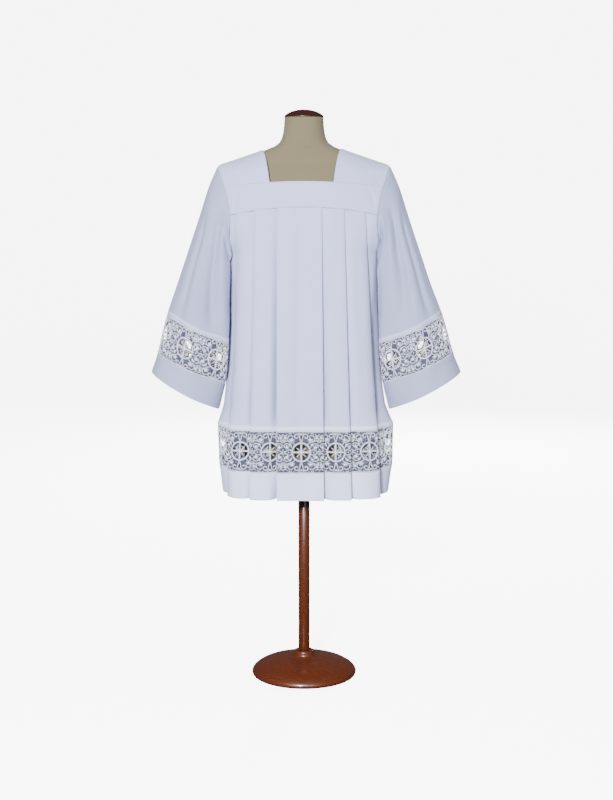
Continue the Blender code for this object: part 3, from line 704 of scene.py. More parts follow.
@dataclass(frozen=True)
class Silhouette:
    """The garment's named sections, shared by every piece of it."""

    heights: tuple[float, ...] = (
        0.543, 0.617, 0.733, 0.785, 0.900, 1.060, 1.205, 1.222, 1.260, 1.280, 1.300,
    )
    half_widths: tuple[float, ...] = (
        0.2345, 0.2435, 0.2460, 0.2270, 0.2120, 0.2060, 0.2065, 0.2150, 0.2430, 0.2590, 0.2700,
    )
    half_depths: tuple[float, ...] = (
        0.1800, 0.1760, 0.1700, 0.1660, 0.1570, 0.1440, 0.1330, 0.1320, 0.1280, 0.1265, 0.1250,
    )
    powers: tuple[float, ...] = (3.40, 3.40, 3.30, 3.20, 3.00, 2.80, 2.60, 2.60, 2.50, 2.45, 2.40)
    middles: tuple[float, ...] = (0.004, 0.005, 0.004, 0.001, 0, 0, 0, 0, 0, 0, 0)
    ridge_sides: tuple[float, ...] = (0.0, 0.110, 0.227, 0.240)
    ridge_heights: tuple[float, ...] = (1.5266, 1.4895, 1.4500, 1.4405)
    samples: int = 361
    rounds: int = 20

    def row(self, height: Array | float) -> tuple:
        """Half width, half depth, power and middle of the level section at a height."""
        columns = (self.half_widths, self.half_depths, self.powers, self.middles)
        return tuple(np.interp(height, self.heights, column) for column in columns)

    def ridge(self, side: Array) -> Array:
        """Height of the shoulder line at a distance from the middle."""
        return np.interp(np.abs(side), self.ridge_sides, self.ridge_heights)

    def chest_depth(self, side: Array) -> Array:
        """Depth of the chest section at a distance from the middle."""
        return self.half_depths[-1] * rounded(side / self.half_widths[-1], self.powers[-1])

    def arch(self, side: Array, turn: Array, facing: Facing) -> Array:
        """Points over the shoulders: depth falls with the cosine and height rises with the sine of turn.

        Args:
            side: distance from the middle.
            turn: angle up the arch, a right angle being the ridge.
            facing: front or back.

        Returns:
            Points in the shape of side and turn.
        """
        rise = np.clip(np.sin(turn), 0, 1) ** (2 / ARCH_POWER)
        depth = self.chest_depth(side) * np.clip(np.cos(turn), 0, 1) ** (2 / ARCH_POWER)
        height = CHEST_HEIGHT + rise * (self.ridge(side) - CHEST_HEIGHT)
        return np.stack(np.broadcast_arrays(side, facing.value * depth, height), axis=-1)

    def arch_turn(self, side: Array, height: Array) -> Array:
        """The angle up the arch at which it has this height."""
        rise = (height - CHEST_HEIGHT) / (self.ridge(side) - CHEST_HEIGHT)
        return np.arcsin(np.clip(rise, 0, 1) ** (ARCH_POWER / 2))

    def lean(self, turn: Array) -> Array:
        """How far the armhole seam has leaned out at an angle up the arch."""
        return ARMHOLE_LEAN * np.clip(np.sin(turn), 0, 1) ** (2 * ARMHOLE_CURVE / ARCH_POWER)

    def armhole(self, height: float) -> Pair:
        """Side and depth of the armhole seam at a height, or of the side seam below it.

        Args:
            height: where to read it.

        Returns:
            The two distances.
        """
        half_width, half_depth, power, _ = self.row(height)
        if height <= UNDERARM_HEIGHT:
            return half_width, 0.0
        if height <= CHEST_HEIGHT:
            low = (CHEST_HEIGHT - height) / (CHEST_HEIGHT - UNDERARM_HEIGHT)
            depth = float(self.chest_depth(ARMHOLE_SIDE)) * math.sqrt(1 - low**2)
            return half_width * float(rounded(depth / half_depth, power)), depth
        side = ARMHOLE_SIDE
        for _ in range(self.rounds):
            rise = (height - CHEST_HEIGHT) / float(self.ridge(side) - CHEST_HEIGHT)
            side = ARMHOLE_SIDE + ARMHOLE_LEAN * min(rise, 1.0) ** ARMHOLE_CURVE
        return side, float(self.arch(side, self.arch_turn(side, height), Facing.BACK)[1])

    def level(self, height: float) -> tuple[Array, Array, Array]:
        """Length, side and depth along the level section at a height, from its middle to its seam.

        Args:
            height: where to read it.

        Returns:
            Three arrays of one length.
        """
        edge_side, edge_depth = self.armhole(height)
        if height > CHEST_HEIGHT:
            side = np.linspace(0, edge_side, self.samples)
            depth = self.arch(side, self.arch_turn(side, height), Facing.BACK)[:, 1]
        else:
            half_width, half_depth, power, _ = self.row(height)
            turn = np.linspace(0, math.asin(math.sqrt(1 - (edge_depth / half_depth) ** power)), self.samples)
            side = half_width * np.sin(turn) ** (2 / power)
            depth = half_depth * np.cos(turn) ** (2 / power)
        return lengths(np.stack([side, depth], axis=-1)), side, depth


@dataclass(frozen=True)
class Fold:
    """A knife pleat's side at the yoke and at the hem, and how far the cloth is tucked under."""

    at_yoke: float
    at_hem: float
    tuck: float


@dataclass
class PleatedHalf:
    """The front or the back of the skirt: pleated cloth, a lace band and a plain hem band.

    The layers' gap and the troughs beside the pleats' edges, one depth for each hand, grow with the
    fall below the yoke to a power. The troughs fade out over `clear_above` and `clear_below` the lace.
    """

    name: str
    facing: Facing
    folds: dict[Hand, tuple[Fold, ...]]
    creases: tuple[Crease, ...]
    ring_side: float
    shape: Silhouette = field(default_factory=Silhouette)
    gaps: Pair = (0.0007, 0.0090)
    crisp: float = 0.0022
    troughs: dict[Hand, float] = field(default_factory=lambda: {Hand.LEFT: 0.0320, Hand.RIGHT: 0.0130})
    trough_width: float = 0.0100
    growth: float = 0.75
    clear_above: float = 0.05
    clear_below: float = 0.12
    crowding: float = 1.6
    face_parts: int = 13
    turn_parts: int = 6
    back_parts: int = 4
    side_parts: int = 12

    def half_route(self, height: float, hand: Hand) -> tuple[Array, Array]:
        """Length along the section and depth under it, from the middle out to the side seam.

        The cloth runs to a fold's edge, turns under on half an ellipse, comes back one layer down,
        turns again and goes out under the next fold, from where it climbs to that fold's edge.

        Args:
            height: height of the level section.
            hand: which side of the middle.

        Returns:
            Two arrays of lengths and depths.
        """
        run_to, sides, _ = self.shape.level(height)
        middle = self.shape.row(height)[3]
        fall = ((YOKE_BOTTOM - min(height, YOKE_BOTTOM)) / (YOKE_BOTTOM - HEM)) ** self.growth
        clear = max((height - LACE_TOP) / self.clear_above, (LACE_BOTTOM - height) / self.clear_below)
        trough = self.troughs[hand] * fall * min(max(clear, 0.0), 1.0)
        second = self.gaps[0] + (self.gaps[1] - self.gaps[0]) * fall
        first = second + 2 * WALL
        both = first + second
        lead, trail = min(first / 2, self.crisp), min(second / 2, self.crisp)
        turn = np.linspace(-math.pi / 2, math.pi / 2, self.turn_parts)
        crowded = np.linspace(0, 1, self.face_parts) ** self.crowding
        run, sunk, start = [], [], 0.0
        for fold in self.folds[hand]:
            side = float(np.interp(height, (HEM, YOKE_BOTTOM), (fold.at_hem, fold.at_yoke)))
            edge = float(np.interp(abs(side - middle), sides, run_to))
            inner = edge - fold.tuck
            slope, hollow = (both / (edge - start), trough) if start else (0.0, 0.0)
            face = start + (edge - lead - start) * crowded
            left = (edge - face) / (edge - start)
            back = np.linspace(edge - lead, inner + trail, self.back_parts + 2)[1:-1]
            under = np.linspace(inner + trail, edge, self.back_parts + 2)[1:-1]
            run += [face, edge - lead + lead * np.cos(turn[1:-1]), back]
            run += [inner + trail - trail * np.cos(turn), under]
            sunk += [
                (edge - start) * slope * left**3 + hollow * bump(face - start, self.trough_width),
                first / 2 * (1 + np.sin(turn[1:-1])),
                (edge - back) * slope + first,
                fold.tuck * slope + first + second / 2 * (1 + np.sin(turn)),
                (edge - under) * slope + both,
            ]
            start = edge
        share = np.linspace(0, 1, self.side_parts) ** self.crowding
        run.append(start + (run_to[-1] - start) * share)
        sunk.append(both * (1 - share) ** 2 + trough * bump(run[-1] - start, self.trough_width))
        return np.concatenate(run), np.concatenate(sunk)

    def place(self, height: float, run: Array, sunk: Array, reach: float = 0.002) -> Array:
        """Points at signed lengths along a level section, sunk square to it.

        Args:
            height: the section's height.
            run: length from the middle, negative on the left.
            sunk: depth under the section.
            reach: how far each way the section's direction is read.

        Returns:
            One point for each length.
        """
        run_to, sides, depths = self.shape.level(height)
        along = np.minimum(np.abs(run), run_to[-1])
        low, high = np.clip(along - reach, 0, None), np.minimum(along + reach, run_to[-1])
        across = np.interp(high, run_to, sides) - np.interp(low, run_to, sides)
        inwards = np.interp(high, run_to, depths) - np.interp(low, run_to, depths)
        size = np.hypot(across, inwards)
        side = np.interp(along, run_to, sides) + sunk * inwards / size
        depth = np.interp(along, run_to, depths) - sunk * across / size
        side = self.shape.row(height)[3] + np.sign(run + 1e-12) * side
        return np.stack([side, self.facing.value * depth, np.full(len(run), height)], axis=-1)

    def table(self, heights: Array, lift: Array) -> Array:
        """Rows of points at these heights, each stood proud by its lift, with the creases pressed in.

        Args:
            heights: the rows' heights.
            lift: one lift for each row.

        Returns:
            The points, row by row.
        """
        rows = []
        for height, proud in zip(heights.tolist(), lift):
            left, right = (self.half_route(height, hand) for hand in Hand)
            run = np.concatenate([-left[0][:0:-1], right[0]])
            sunk = np.concatenate([left[1][:0:-1], right[1]])
            sunk = sunk + creases_at(self.creases, run, np.full(len(run), height)) - proud
            rows.append(self.place(height, run, sunk))
        return np.array(rows)

    @staticmethod
    def eased_rows(rows: Array, rounds: int = 8, seam_width: float = 0.02) -> Array:
        """Depths averaged up and down the cloth some 12 mm each way, but not at the side seams.

        Args:
            rows: the sheet's points.
            rounds: how often a row is averaged with its neighbours.
            seam_width: how wide a strip at each side seam is held.

        Returns:
            The eased points.
        """
        side = rows[..., 0]
        ends = side - side.min(axis=1, keepdims=True), side.max(axis=1, keepdims=True) - side
        inner = 1 - bump(np.minimum(*ends), seam_width)
        depth = rows[..., 1].copy()
        for _ in range(rounds):
            middle = (depth[:-2] + 2 * depth[1:-1] + depth[2:]) / 4
            depth[1:-1] += (middle - depth[1:-1]) * inner[1:-1]
        return np.stack([side, depth, rows[..., 2]], axis=-1)

    def surface(self, points: Array) -> Surface:
        """A sheet of this half, facing away from the pole."""
        return Surface(points, np.array((0.0, 0.0, float(points[..., 2].mean()))))

    def panel(self) -> Surface:
        """The pleated cloth from the yoke's curved seam down to the lace, its lower edge turned up.

        Returns:
            The sheet.
        """
        heights = np.concatenate([np.linspace(LACE_TOP, 1.300, 96), np.linspace(1.304, YOKE_BOTTOM, 10)])
        lift = TURNED_LIFT * soft_step(heights - LACE_TOP - TURNED_STRIP)
        rows = self.eased_rows(self.table(heights, lift))
        seam = YOKE_BOTTOM - YOKE_BOTTOM_SAG * (rows[-4, :, 0] / SAG_HALF_WIDTH) ** 2
        fine = np.array((0.0, 0.004, 0.008, 0.0105, 0.0114, 0.0124, 0.015)) / 0.6
        share = np.concatenate([fine, np.linspace(0.035, 0.97, 60), (0.98, 0.988, 0.994, 1.0)])[::-1]
        want = LACE_TOP + (seam - LACE_TOP)[None, :] * share[:, None]
        below = np.clip(np.searchsorted(heights, want, side="right") - 1, 0, len(heights) - 2)
        part = ((want - heights[below]) / (heights[below + 1] - heights[below]))[..., None]
        column = np.broadcast_to(np.arange(rows.shape[1]), below.shape)
        return self.surface(blend(rows[below, column], rows[below + 1, column], part))

    def band(self, top: float, bottom: float, parts: int, strip: float | None = None) -> Surface:
        """A band between two heights.

        Args:
            top: its upper height.
            bottom: its lower height.
            parts: how many rows it has.
            strip: width of the doubled edge at its top, or none.

        Returns:
            The sheet.
        """
        heights = np.linspace(top, bottom, parts)
        lift = 0 * heights if strip is None else BAND_LIFT * soft_step(top - heights - strip)
        return self.surface(self.table(heights, lift))

    def build(self, finishes: Finishes) -> None:
        """Makes the panel, the lace and the hem of this half, with their sewing.

        Args:
            finishes: every material.
        """
        name = self.name
        panel = self.panel()
        names = (f"panel_{name}", f"panel_stitches_{name}", f"body_{name}")
        sewn = SewnSheet(*names, Stuff.CLOTH, "hung", f"yoke_{name}")
        cloth = sewn.build(panel, (-0.0095, -0.0015), finishes)
        double_edge(cloth, 4 * (panel.points.shape[1] - 1), finishes[Stuff.DOUBLED])
        lace = self.band(LACE_TOP, LACE_BOTTOM, 13)
        middle = lace.points.shape[1] // 2
        ring_at = lace.run()[0].mean(axis=0)[middle] + self.ring_side
        ring_at -= float(lace.points[:, middle, 0].mean())
        LaceBand(f"lace_{name}", lace, ring_at, (f"lace_{name}",)).build(finishes, f"panel_{name}")
        names = (f"hem_band_{name}", f"hem_stitches_{name}", f"hem_{name}")
        sewn = SewnSheet(*names, Stuff.DOUBLED, "hung", f"lace_{name}_net")
        sewn.build(self.band(LACE_BOTTOM, HEM, 30, 0.009), (0.0015, 0.0080, -0.0035), finishes)


@dataclass(frozen=True)
class Stroke:
    """A raised cord of the lace, through (across, up) places in millimetres from its ring's middle."""

    places: tuple[Pair, ...]
    width: float
    loop: bool = False
    taper: float = 0.45

    def outline(self, step: float = 2.3, parts: int = 8) -> Array:
        """Places at even steps along the cord, which is straight between two places.

        A longer list of places is rounded by a centred Catmull-Rom line.

        Args:
            step: about how far apart the places are.
            parts: how many places the rounded line has for each one listed.

        Returns:
            The places.
        """
        line = np.array(self.places, float)
        if len(line) > 2:
            ends = (2 * line[:1] - line[1:2], 2 * line[-1:] - line[-2:-1])
            before, after = (line[-1:], line[:2]) if self.loop else ends
            padded = np.concatenate([before, line, after])
            share = np.linspace(0, 1, parts, endpoint=False)[:, None]
            a, b, c, d = (padded[at : len(padded) - 3 + at][:, None] for at in range(4))
            curve = 2 * b + (c - a) * share + (2 * a - 5 * b + 4 * c - d) * share**2
            curve = 0.5 * (curve + (3 * b - a - 3 * c + d) * share**3)
            line = np.concatenate([curve.reshape(-1, 2), line[:1] if self.loop else line[-1:]])
        run = lengths(line)
        return read_at(line, run, np.linspace(0, run[-1], max(int(run[-1] / step), 3)))

    def cord(self) -> Mesh:
        """(across, up, lift) points in millimetres and triangles of a cord with a ridged section.

        Returns:
            The cord's mesh.
        """
        line = self.outline()
        line = line[:-1] if self.loop else line
        if self.loop:
            ahead = unit(np.roll(line, -1, axis=0) - np.roll(line, 1, axis=0))
        else:
            ahead = unit(np.gradient(line, axis=0))
        aside = np.stack([-ahead[:, 1], ahead[:, 0]], axis=-1) * self.width / 2
        if not self.loop:
            aside[[0, -1]] *= self.taper
        rise = 0.28 * self.width + 0.15
        corners = ((1, 0.0), (0, rise), (-1, 0.0), (0, -rise / 3))
        flat = np.ones(len(line))
        ring = np.stack([np.column_stack([line + out * aside, up * flat]) for out, up in corners], axis=1)
        count = len(line)
        low = 4 * np.arange(count if self.loop else count - 1)[:, None]
        high = (low + 4) % (4 * count)
        side, after = np.arange(4), (np.arange(4) + 1) % 4
        one = np.stack([low + side, high + side, high + after], axis=-1)
        two = np.stack([low + side, high + after, low + after], axis=-1)
        faces = [one.reshape(-1, 3), two.reshape(-1, 3)]
        if not self.loop:
            faces += [np.array([(0, 1, 2), (0, 2, 3)]), np.array([(0, 2, 1), (0, 3, 2)]) + 4 * (count - 1)]
        return ring.reshape(-1, 3), np.concatenate(faces)


@dataclass(frozen=True)
class Petal:
    """A filled motif: a dot, or a leaf with lobes, its radius one plus a cosine of lobes times the turn."""

    place: Pair
    radius: float
    lobes: int = 0
    turn: float = 0.0
    sides: int = 8

    def dome(self) -> Mesh:
        """(across, up, lift) points and triangles: a rim, a raised middle and a foot below it.

        Returns:
            The motif's mesh.
        """
        turn = np.linspace(0, FULL_TURN, self.sides, endpoint=False)
        size = self.radius * (1 if not self.lobes else 0.74 + 0.26 * np.cos(self.lobes * turn))
        angle = turn + math.radians(self.turn)
        rim = np.stack([np.cos(angle) * size, np.sin(angle) * size, np.zeros(self.sides)], axis=-1)
        high = min(0.35 * self.radius, 1.1) + 0.2
        points = np.concatenate([rim, [(0, 0, high), (0, 0, -high / 3)]])
        points[:, :2] += self.place
        index = np.arange(self.sides)
        after = (index + 1) % self.sides
        top = np.stack([index, after, np.full(self.sides, self.sides)], axis=-1)
        foot = np.stack([after, index, np.full(self.sides, self.sides + 1)], axis=-1)
        return points, np.concatenate([top, foot])


def spiral(middle: Pair, turns: Pair, radii: Pair, parts: int) -> list[Pair]:
    """Places along a spiral: the radius changes evenly as the angle turns.

    Args:
        middle: the spiral's middle in millimetres.
        turns: first and last angle in degrees.
        radii: first and last radius.
        parts: how many places it has.

    Returns:
        The places.
    """
    angles, sizes = np.radians(np.linspace(*turns, parts)), np.linspace(*radii, parts)
    return [(middle[0] + r * math.cos(a), middle[1] + r * math.sin(a)) for a, r in zip(angles, sizes)]


@dataclass(frozen=True)
class LacePattern:
    """One repeat of the vine-and-ring lace, in millimetres from the ring's middle.

    Vines are places and a width, leaves a place, a radius and a turn, and all of them stand in one
    quarter, which is mirrored to the other three.
    """

    repeat: float = 98.5
    ring: float = 25.2
    opening: float = 21.5
    bar: float = 2.8
    tip_near: float = 31.0
    tip_far: float = 44.0
    tip_half_width: float = 5.5
    vines: tuple[tuple[tuple[Pair, ...], float], ...] = (
        (((0.8, 27.5), (2.4, 33.5), *spiral((12.6, 42.6), (188, -190), (8.4, 2.6), 14)), 3.1),
        (((21, 42), (27, 46.5), (34, 44), (37, 37), (33.5, 30.5), (29, 33), (31.5, 37)), 2.5),
        (((25, 13), (30, 20), (37, 24), (44, 22.5), (46.5, 16.5), (42.5, 13.0), (40, 17)), 2.5),
        (((17, 19.5), (22, 26), (29, 27.5), (36, 31), (44, 32), (49.2, 36)), 2.4),
        (((26, 4), (31, 7.5), (36, 6.5), (41, 3.5), (44.4, 1.5)), 2.4),
        (((0, 46), (3.5, 50.5), (9, 53)), 2.0),
        (((37, 50), (42, 46), (47, 46.5), (49.2, 50)), 2.0),
    )
    leaves: tuple[tuple[float, ...], ...] = (
        (24.5, 33.5, 8.6, 20), (38.5, 13.5, 8.2, 80), (43.0, 39.5, 7.6, 50), (30.0, 20.5, 5.6, 10),
    )
    grapes: tuple[Pair, ...] = (
        (47.0, 27.0), (44.5, 29.5), (47.2, 31.0), (27.5, 51.5), (30.5, 53.5), (33.0, 50.5),
    )
    buds: tuple[Pair, ...] = (
        (20.0, 52.5), (18.5, 30.5), (29.5, 0.0), (34.5, 1.0), (49.2, 9.0), (49.2, 20.0),
    )
    quarters: tuple[Pair, ...] = ((-1, -1), (-1, 1), (1, -1), (1, 1))

    def strokes(self) -> list[Stroke]:
        """The ring with its plain cross and short rays, paired scrolls above and below, and vines.

        Returns:
            The cords of one repeat.
        """
        turns = np.linspace(0, FULL_TURN, 24, endpoint=False)
        near, far = ([(r * math.cos(a), r * math.sin(a)) for a in turns] for r in (self.ring - 0.3, 4.8))
        made = [
            Stroke(tuple(near), 4.6, True),
            Stroke(((0, -23), (0, 23)), 5.0),
            Stroke(((-23, 0), (23, 0)), 5.0),
            *(Stroke(tuple((r * x, r * y) for r in (2.5, 12.4)), 2.2) for x, y in self.quarters),
            Stroke(tuple((self.repeat / 2 + x, y) for x, y in far), 2.2, True),
        ]
        for right, up in self.quarters:
            for vine, width in self.vines:
                made.append(Stroke(tuple((x * right, y * up) for x, y in vine), width))
        return made

    def petals(self) -> list[Petal]:
        """Vine leaves, grapes, buds, and a picot row along both edges.

        Returns:
            The filled motifs of one repeat.
        """
        made = [Petal((0, 49.5 * up), 2.5) for up in (-1, 1)]
        made.append(Petal((self.repeat / 2, 0), 2.0))
        for right, up in self.quarters:
            for x, y, radius, turn in self.leaves:
                made.append(Petal((x * right, y * up), radius, 5, turn if right == up else 180 - turn, 20))
            made += [Petal((x * right, y * up), 1.9) for x, y in self.grapes]
            made += [Petal((x * right, y * up), 1.6, sides=6) for x, y in self.buds]
        picots = np.arange(-self.repeat / 2, self.repeat / 2 - 1, self.repeat / 28).tolist()
        return made + [Petal((x, 54.4 * up), 1.15, sides=6) for up in (-1, 1) for x in picots]

    def open_at(self, across: Array, up: Array) -> Array:
        """Whether a place lies in the ring's four gaps or in the gap above or below the ring.

        Args:
            across: places across from the ring's middle.
            up: places up from it.

        Returns:
            True where it is open.
        """
        across, up = np.abs(across), np.abs(up)
        in_ring = (np.hypot(across, up) < self.opening) & (across > self.bar) & (up > self.bar)
        rise = (up - self.tip_near) / (self.tip_far - self.tip_near)
        return in_ring | (rise > 0) & (rise < 1) & (across < self.tip_half_width * rise)


@dataclass
class LaceBand:
    """A band of lace along a folded or tubular sheet: a net of small holes with raised cords on it.

    The real net's threads are about 1 mm apart; they are drawn at `mesh` across the corners of a
    hole, so that they show at all. `hole` is the hole's share of its cell.
    """

    name: str
    surface: Surface
    ring_at: float
    stands_for: tuple[str, ...]
    hole: float = 0.46
    pattern: LacePattern = field(default_factory=LacePattern)
    mesh: float = 0.0056
    margin: float = 0.0005
    tape: float = 0.0016
    border: float = 0.002
    least_cover: float = 0.31

    def __post_init__(self) -> None:
        """Works out the lengths along the band's middle and up it, and the length of one repeat."""
        sheet = self.surface
        self.points, self.normals = sheet.joined(sheet.points), sheet.joined(sheet.normals)
        self.along = sheet.run()[0].mean(axis=0)
        self.long = float(self.along[-1])
        self.high = float(np.linalg.norm(self.points[0] - self.points[-1], axis=1).mean())
        self.step = self.pattern.repeat / 1000
        if self.surface.closed:
            self.step = self.long / round(self.long / self.step)

    def place(self, run: Array, up: Array, lift: Array) -> Array:
        """Points of the band, read between the four nearest points of its grid.

        Args:
            run: length along the band.
            up: height from its middle line.
            lift: distance off its outer side.

        Returns:
            One point for each.
        """
        run = np.mod(run, self.long) if self.surface.closed else np.clip(run, 0, self.long)
        column = np.clip(np.searchsorted(self.along, run, side="right") - 1, 0, len(self.along) - 2)
        share = ((run - self.along[column]) / (self.along[column + 1] - self.along[column]))[:, None]
        rows = len(self.points) - 1
        down = np.clip((0.5 - up / self.high) * rows, 0, rows)
        row = np.minimum(down.astype(int), rows - 1)
        both = []
        for grid in (self.points, self.normals):
            upper, lower = (blend(grid[at, column], grid[at, column + 1], share) for at in (row, row + 1))
            both.append(blend(upper, lower, (down - row)[:, None]))
        return both[0] + both[1] * lift[:, None]

    def rings(self) -> Array:
        """The rings' places along the band; a closed band's repeat is eased to close evenly.

        Returns:
            Their lengths.
        """
        if self.surface.closed:
            return np.mod(self.ring_at + self.step * np.arange(round(self.long / self.step)), self.long)
        first = self.ring_at - math.ceil(self.ring_at / self.step) * self.step
        return np.arange(first - self.step, self.long + self.step, self.step)

    def net(self) -> Mesh:
        """Diamond cells, each a frame of four sides round its hole, left out in the open gaps.

        Returns:
            The net's mesh.
        """
        inner = self.high - 2 * self.border
        wide, tall = int(self.long / self.mesh), int(inner / self.mesh)
        half = np.array((self.long / wide, inner / tall)) / 2
        grids = [np.meshgrid(2 * np.arange(wide) + at, 2 * np.arange(tall + 1 - at) + at) for at in (1, 2)]
        cells = np.concatenate([np.stack(grid, axis=-1).reshape(-1, 2) for grid in grids])
        if not self.surface.closed:
            cells = cells[cells[:, 0] < 2 * wide]
        middles = cells * half - (0, inner / 2)
        near = (middles[:, 0] - self.ring_at + self.step / 2) % self.step - self.step / 2
        open_there = self.pattern.open_at(near * self.pattern.repeat / self.step, middles[:, 1] * 1000)
        reach = np.array([(1, 0), (0, 1), (-1, 0), (0, -1)]) * half
        reach = np.concatenate([reach, reach * self.hole])
        flat = (middles[~open_there][:, None] + reach).reshape(-1, 2)
        side = np.arange(4)
        after = (side + 1) % 4
        frame = np.stack([side, after, after + 4, side + 4], axis=-1)
        faces = (frame[None] + 8 * np.arange(len(flat) // 8)[:, None, None]).reshape(-1, 4)
        return self.place(flat[:, 0], flat[:, 1], np.zeros(len(flat))), faces[:, ::-1]

    def cords(self) -> Mesh:
        """All raised cords and petals, one set for each repeat that fits on the band, and the tapes.

        Returns:
            Their joined mesh.
        """
        parts = [stroke.cord() for stroke in self.pattern.strokes()]
        parts += [petal.dome() for petal in self.pattern.petals()]
        stretch = self.step / self.pattern.repeat
        made = []
        for ring in self.rings():
            for points, shape in parts:
                run = ring + points[:, 0] * stretch
                fits = run.min() >= self.margin and run.max() <= self.long - self.margin
                if fits or self.surface.closed:
                    made.append((np.column_stack([run, points[:, 1:] / 1000]), shape))
        inset = 0.0 if self.surface.closed else 0.4
        for up in (self.tape - self.high / 2, self.high / 2 - self.tape):
            points, shape = Stroke(((inset, up * 1000), (self.long * 1000 - inset, up * 1000)), 3.0).cord()
            made.append((points / 1000, shape))
        counts = np.cumsum([0] + [len(points) for points, _ in made])
        flat = np.concatenate([points for points, _ in made])
        faces = np.concatenate([shape + at for (_, shape), at in zip(made, counts)])
        return self.place(flat[:, 0], flat[:, 1], flat[:, 2] + 0.0002), faces

    def build(self, finishes: Finishes, hangs_from: str) -> None:
        """Args:
            finishes: every material.
            hangs_from: name of the cloth above it; not used.
        """
        net = make_object(f"{self.name}_net", *self.net())
        # The net's finish is dark grey as painted shade.
        dress(net, finishes[Stuff.NET], self.stands_for)
        cords = dress(make_object(f"{self.name}_cords", *self.cords()), finishes[Stuff.LACE])
        areas = np.empty(len(net.data.polygons))
        net.data.polygons.foreach_get("area", areas)


@dataclass
class Yoke:
    """The square yoke: a front and a back band and two shoulder straps, with pressed seams.

    `tops` has each band's upper height and its sag; a seam's pressed ridge lies an inset from it.
    """

    shape: Silhouette = field(default_factory=Silhouette)
    tops: dict[Facing, Pair] = field(
        default_factory=lambda: {Facing.FRONT: (1.4010, 0.012), Facing.BACK: (1.4400, 0.010)}
    )
    lap: float = 0.0012
    ridge_height: float = 0.0013
    ridge_width: float = 0.0030
    seam_inset: float = 0.0045
    neck_inset: float = 0.0050
    armhole_insets: Pair = (0.0075, 0.0085)
    wide: float = 1.3
    rounds: int = 8
    band_creases: tuple[Crease, ...] = (
        Crease((0.176, 0.012), (0.192, 0.060), 0.0022, 0.006),
        Crease((-0.178, 0.020), (-0.190, 0.062), 0.0026, 0.006),
        Crease((-0.150, 0.006), (-0.188, 0.020), 0.0012, 0.005),
        Crease((0.140, 0.046), (0.186, 0.036), -0.0010, 0.006),
        Crease((-0.060, 0.030), (0.070, 0.034), -0.0007, 0.012),
    )
    strap_creases: tuple[Crease, ...] = (
        Crease((0.150, 0.018), (0.205, 0.046), 0.0018, 0.006),
        Crease((0.135, 0.030), (0.190, 0.068), -0.0012, 0.007),
        Crease((0.160, 0.085), (0.215, 0.100), 0.0014, 0.006),
        Crease((0.120, 0.060), (0.150, 0.120), 0.0009, 0.009),
        Crease((0.150, 0.190), (0.205, 0.160), 0.0014, 0.007),
    )

    def hang(self, side: Array, top: float, sag: float) -> Array:
        """Height of a yoke seam, which hangs lower towards the armholes by the square of the side."""
        return top - sag * (np.abs(side) / SAG_HALF_WIDTH) ** 2

    def ridges(self, below: Array, edge: Array, inset: float) -> Array:
        """Pressed ridges inside a piece's upper and lower seams and its armhole seam.

        Args:
            below: length down each column.
            edge: distance from the armhole.
            inset: how far the armhole's ridge lies from it.

        Returns:
            The lift at each point.
        """
        upper, lower = (bump(way - self.seam_inset, self.ridge_width) for way in (below, below[-1:] - below))
        return self.ridge_height * (upper + lower + bump(edge - inset, self.ridge_width * self.wide))

    def band(self, facing: Facing) -> Surface:
        """The band from armhole to armhole, with a pressed ridge inside each of its seams.

        The side and the height of each point are settled in turn, because the armhole leans out
        as the arch rises.

        Args:
            facing: front or back.

        Returns:
            The sheet.
        """
        across, down = np.meshgrid(np.linspace(-1, 1, 121), np.linspace(0, 1, 34))
        side = across * SAG_HALF_WIDTH
        for _ in range(self.rounds):
            high = self.hang(side, *self.tops[facing]) + self.lap
            low = self.hang(side, YOKE_BOTTOM, YOKE_BOTTOM_SAG) - self.lap
            turn = self.shape.arch_turn(side, high + (low - high) * down)
            side = across * (ARMHOLE_SIDE + self.shape.lean(turn))
        sheet = Surface(self.shape.arch(side, turn, facing), np.array((0.0, 0.0, CHEST_HEIGHT)))
        below = sheet.run()[1]
        edge = (1 - np.abs(across)) * ARMHOLE_SIDE
        lift = self.ridges(below, edge, self.armhole_insets[0])
        lift = lift + 0.0007 * bump(below, 0.006) - 0.0008 * bump(below[-1] - below, 0.0022)
        return sheet.raised(lift - creases_at(self.band_creases, side, below) * (1 - bump(edge, 0.003)))

    def strap(self, hand: Hand) -> Surface:
        """A shoulder strap from the front band over the ridge to the back band.

        Args:
            hand: left or right.

        Returns:
            The sheet.
        """
        climb = blend(1 - np.cos(np.linspace(0, math.pi / 2, 34)), np.linspace(0, 1, 34), 0.7)
        share, across = np.meshgrid(climb, np.linspace(0, 1, 40), indexing="ij")
        inner = NECK_HALF_WIDTH_LOW + (NECK_HALF_WIDTH_RIDGE - NECK_HALF_WIDTH_LOW) * share
        inner = hand.value * inner + NECK_SHIFT
        halves = []
        for facing in Facing:
            side = inner
            for _ in range(self.rounds):
                low = self.shape.arch_turn(side, self.hang(side, *self.tops[facing]))
                turn = low + (math.pi / 2 - low) * share
                side = inner + (hand.value * (ARMHOLE_SIDE + self.shape.lean(turn)) - inner) * across
            halves.append(self.shape.arch(side, turn, facing))
        points = np.concatenate([halves[0], halves[1][-2::-1]])
        sheet = Surface(points, points * (1, 0, 0) + (0, 0, CHEST_HEIGHT))
        along, below = sheet.run()
        edge = along[:, -1:] - along
        lift = self.ridges(below, edge, self.armhole_insets[1])
        lift = lift + 0.8 * self.ridge_height * bump(along - self.neck_inset, self.ridge_width)
        pressed = creases_at(self.strap_creases, np.abs(points[..., 0]), below)
        return sheet.raised(lift - pressed * bump(edge, 0.09))

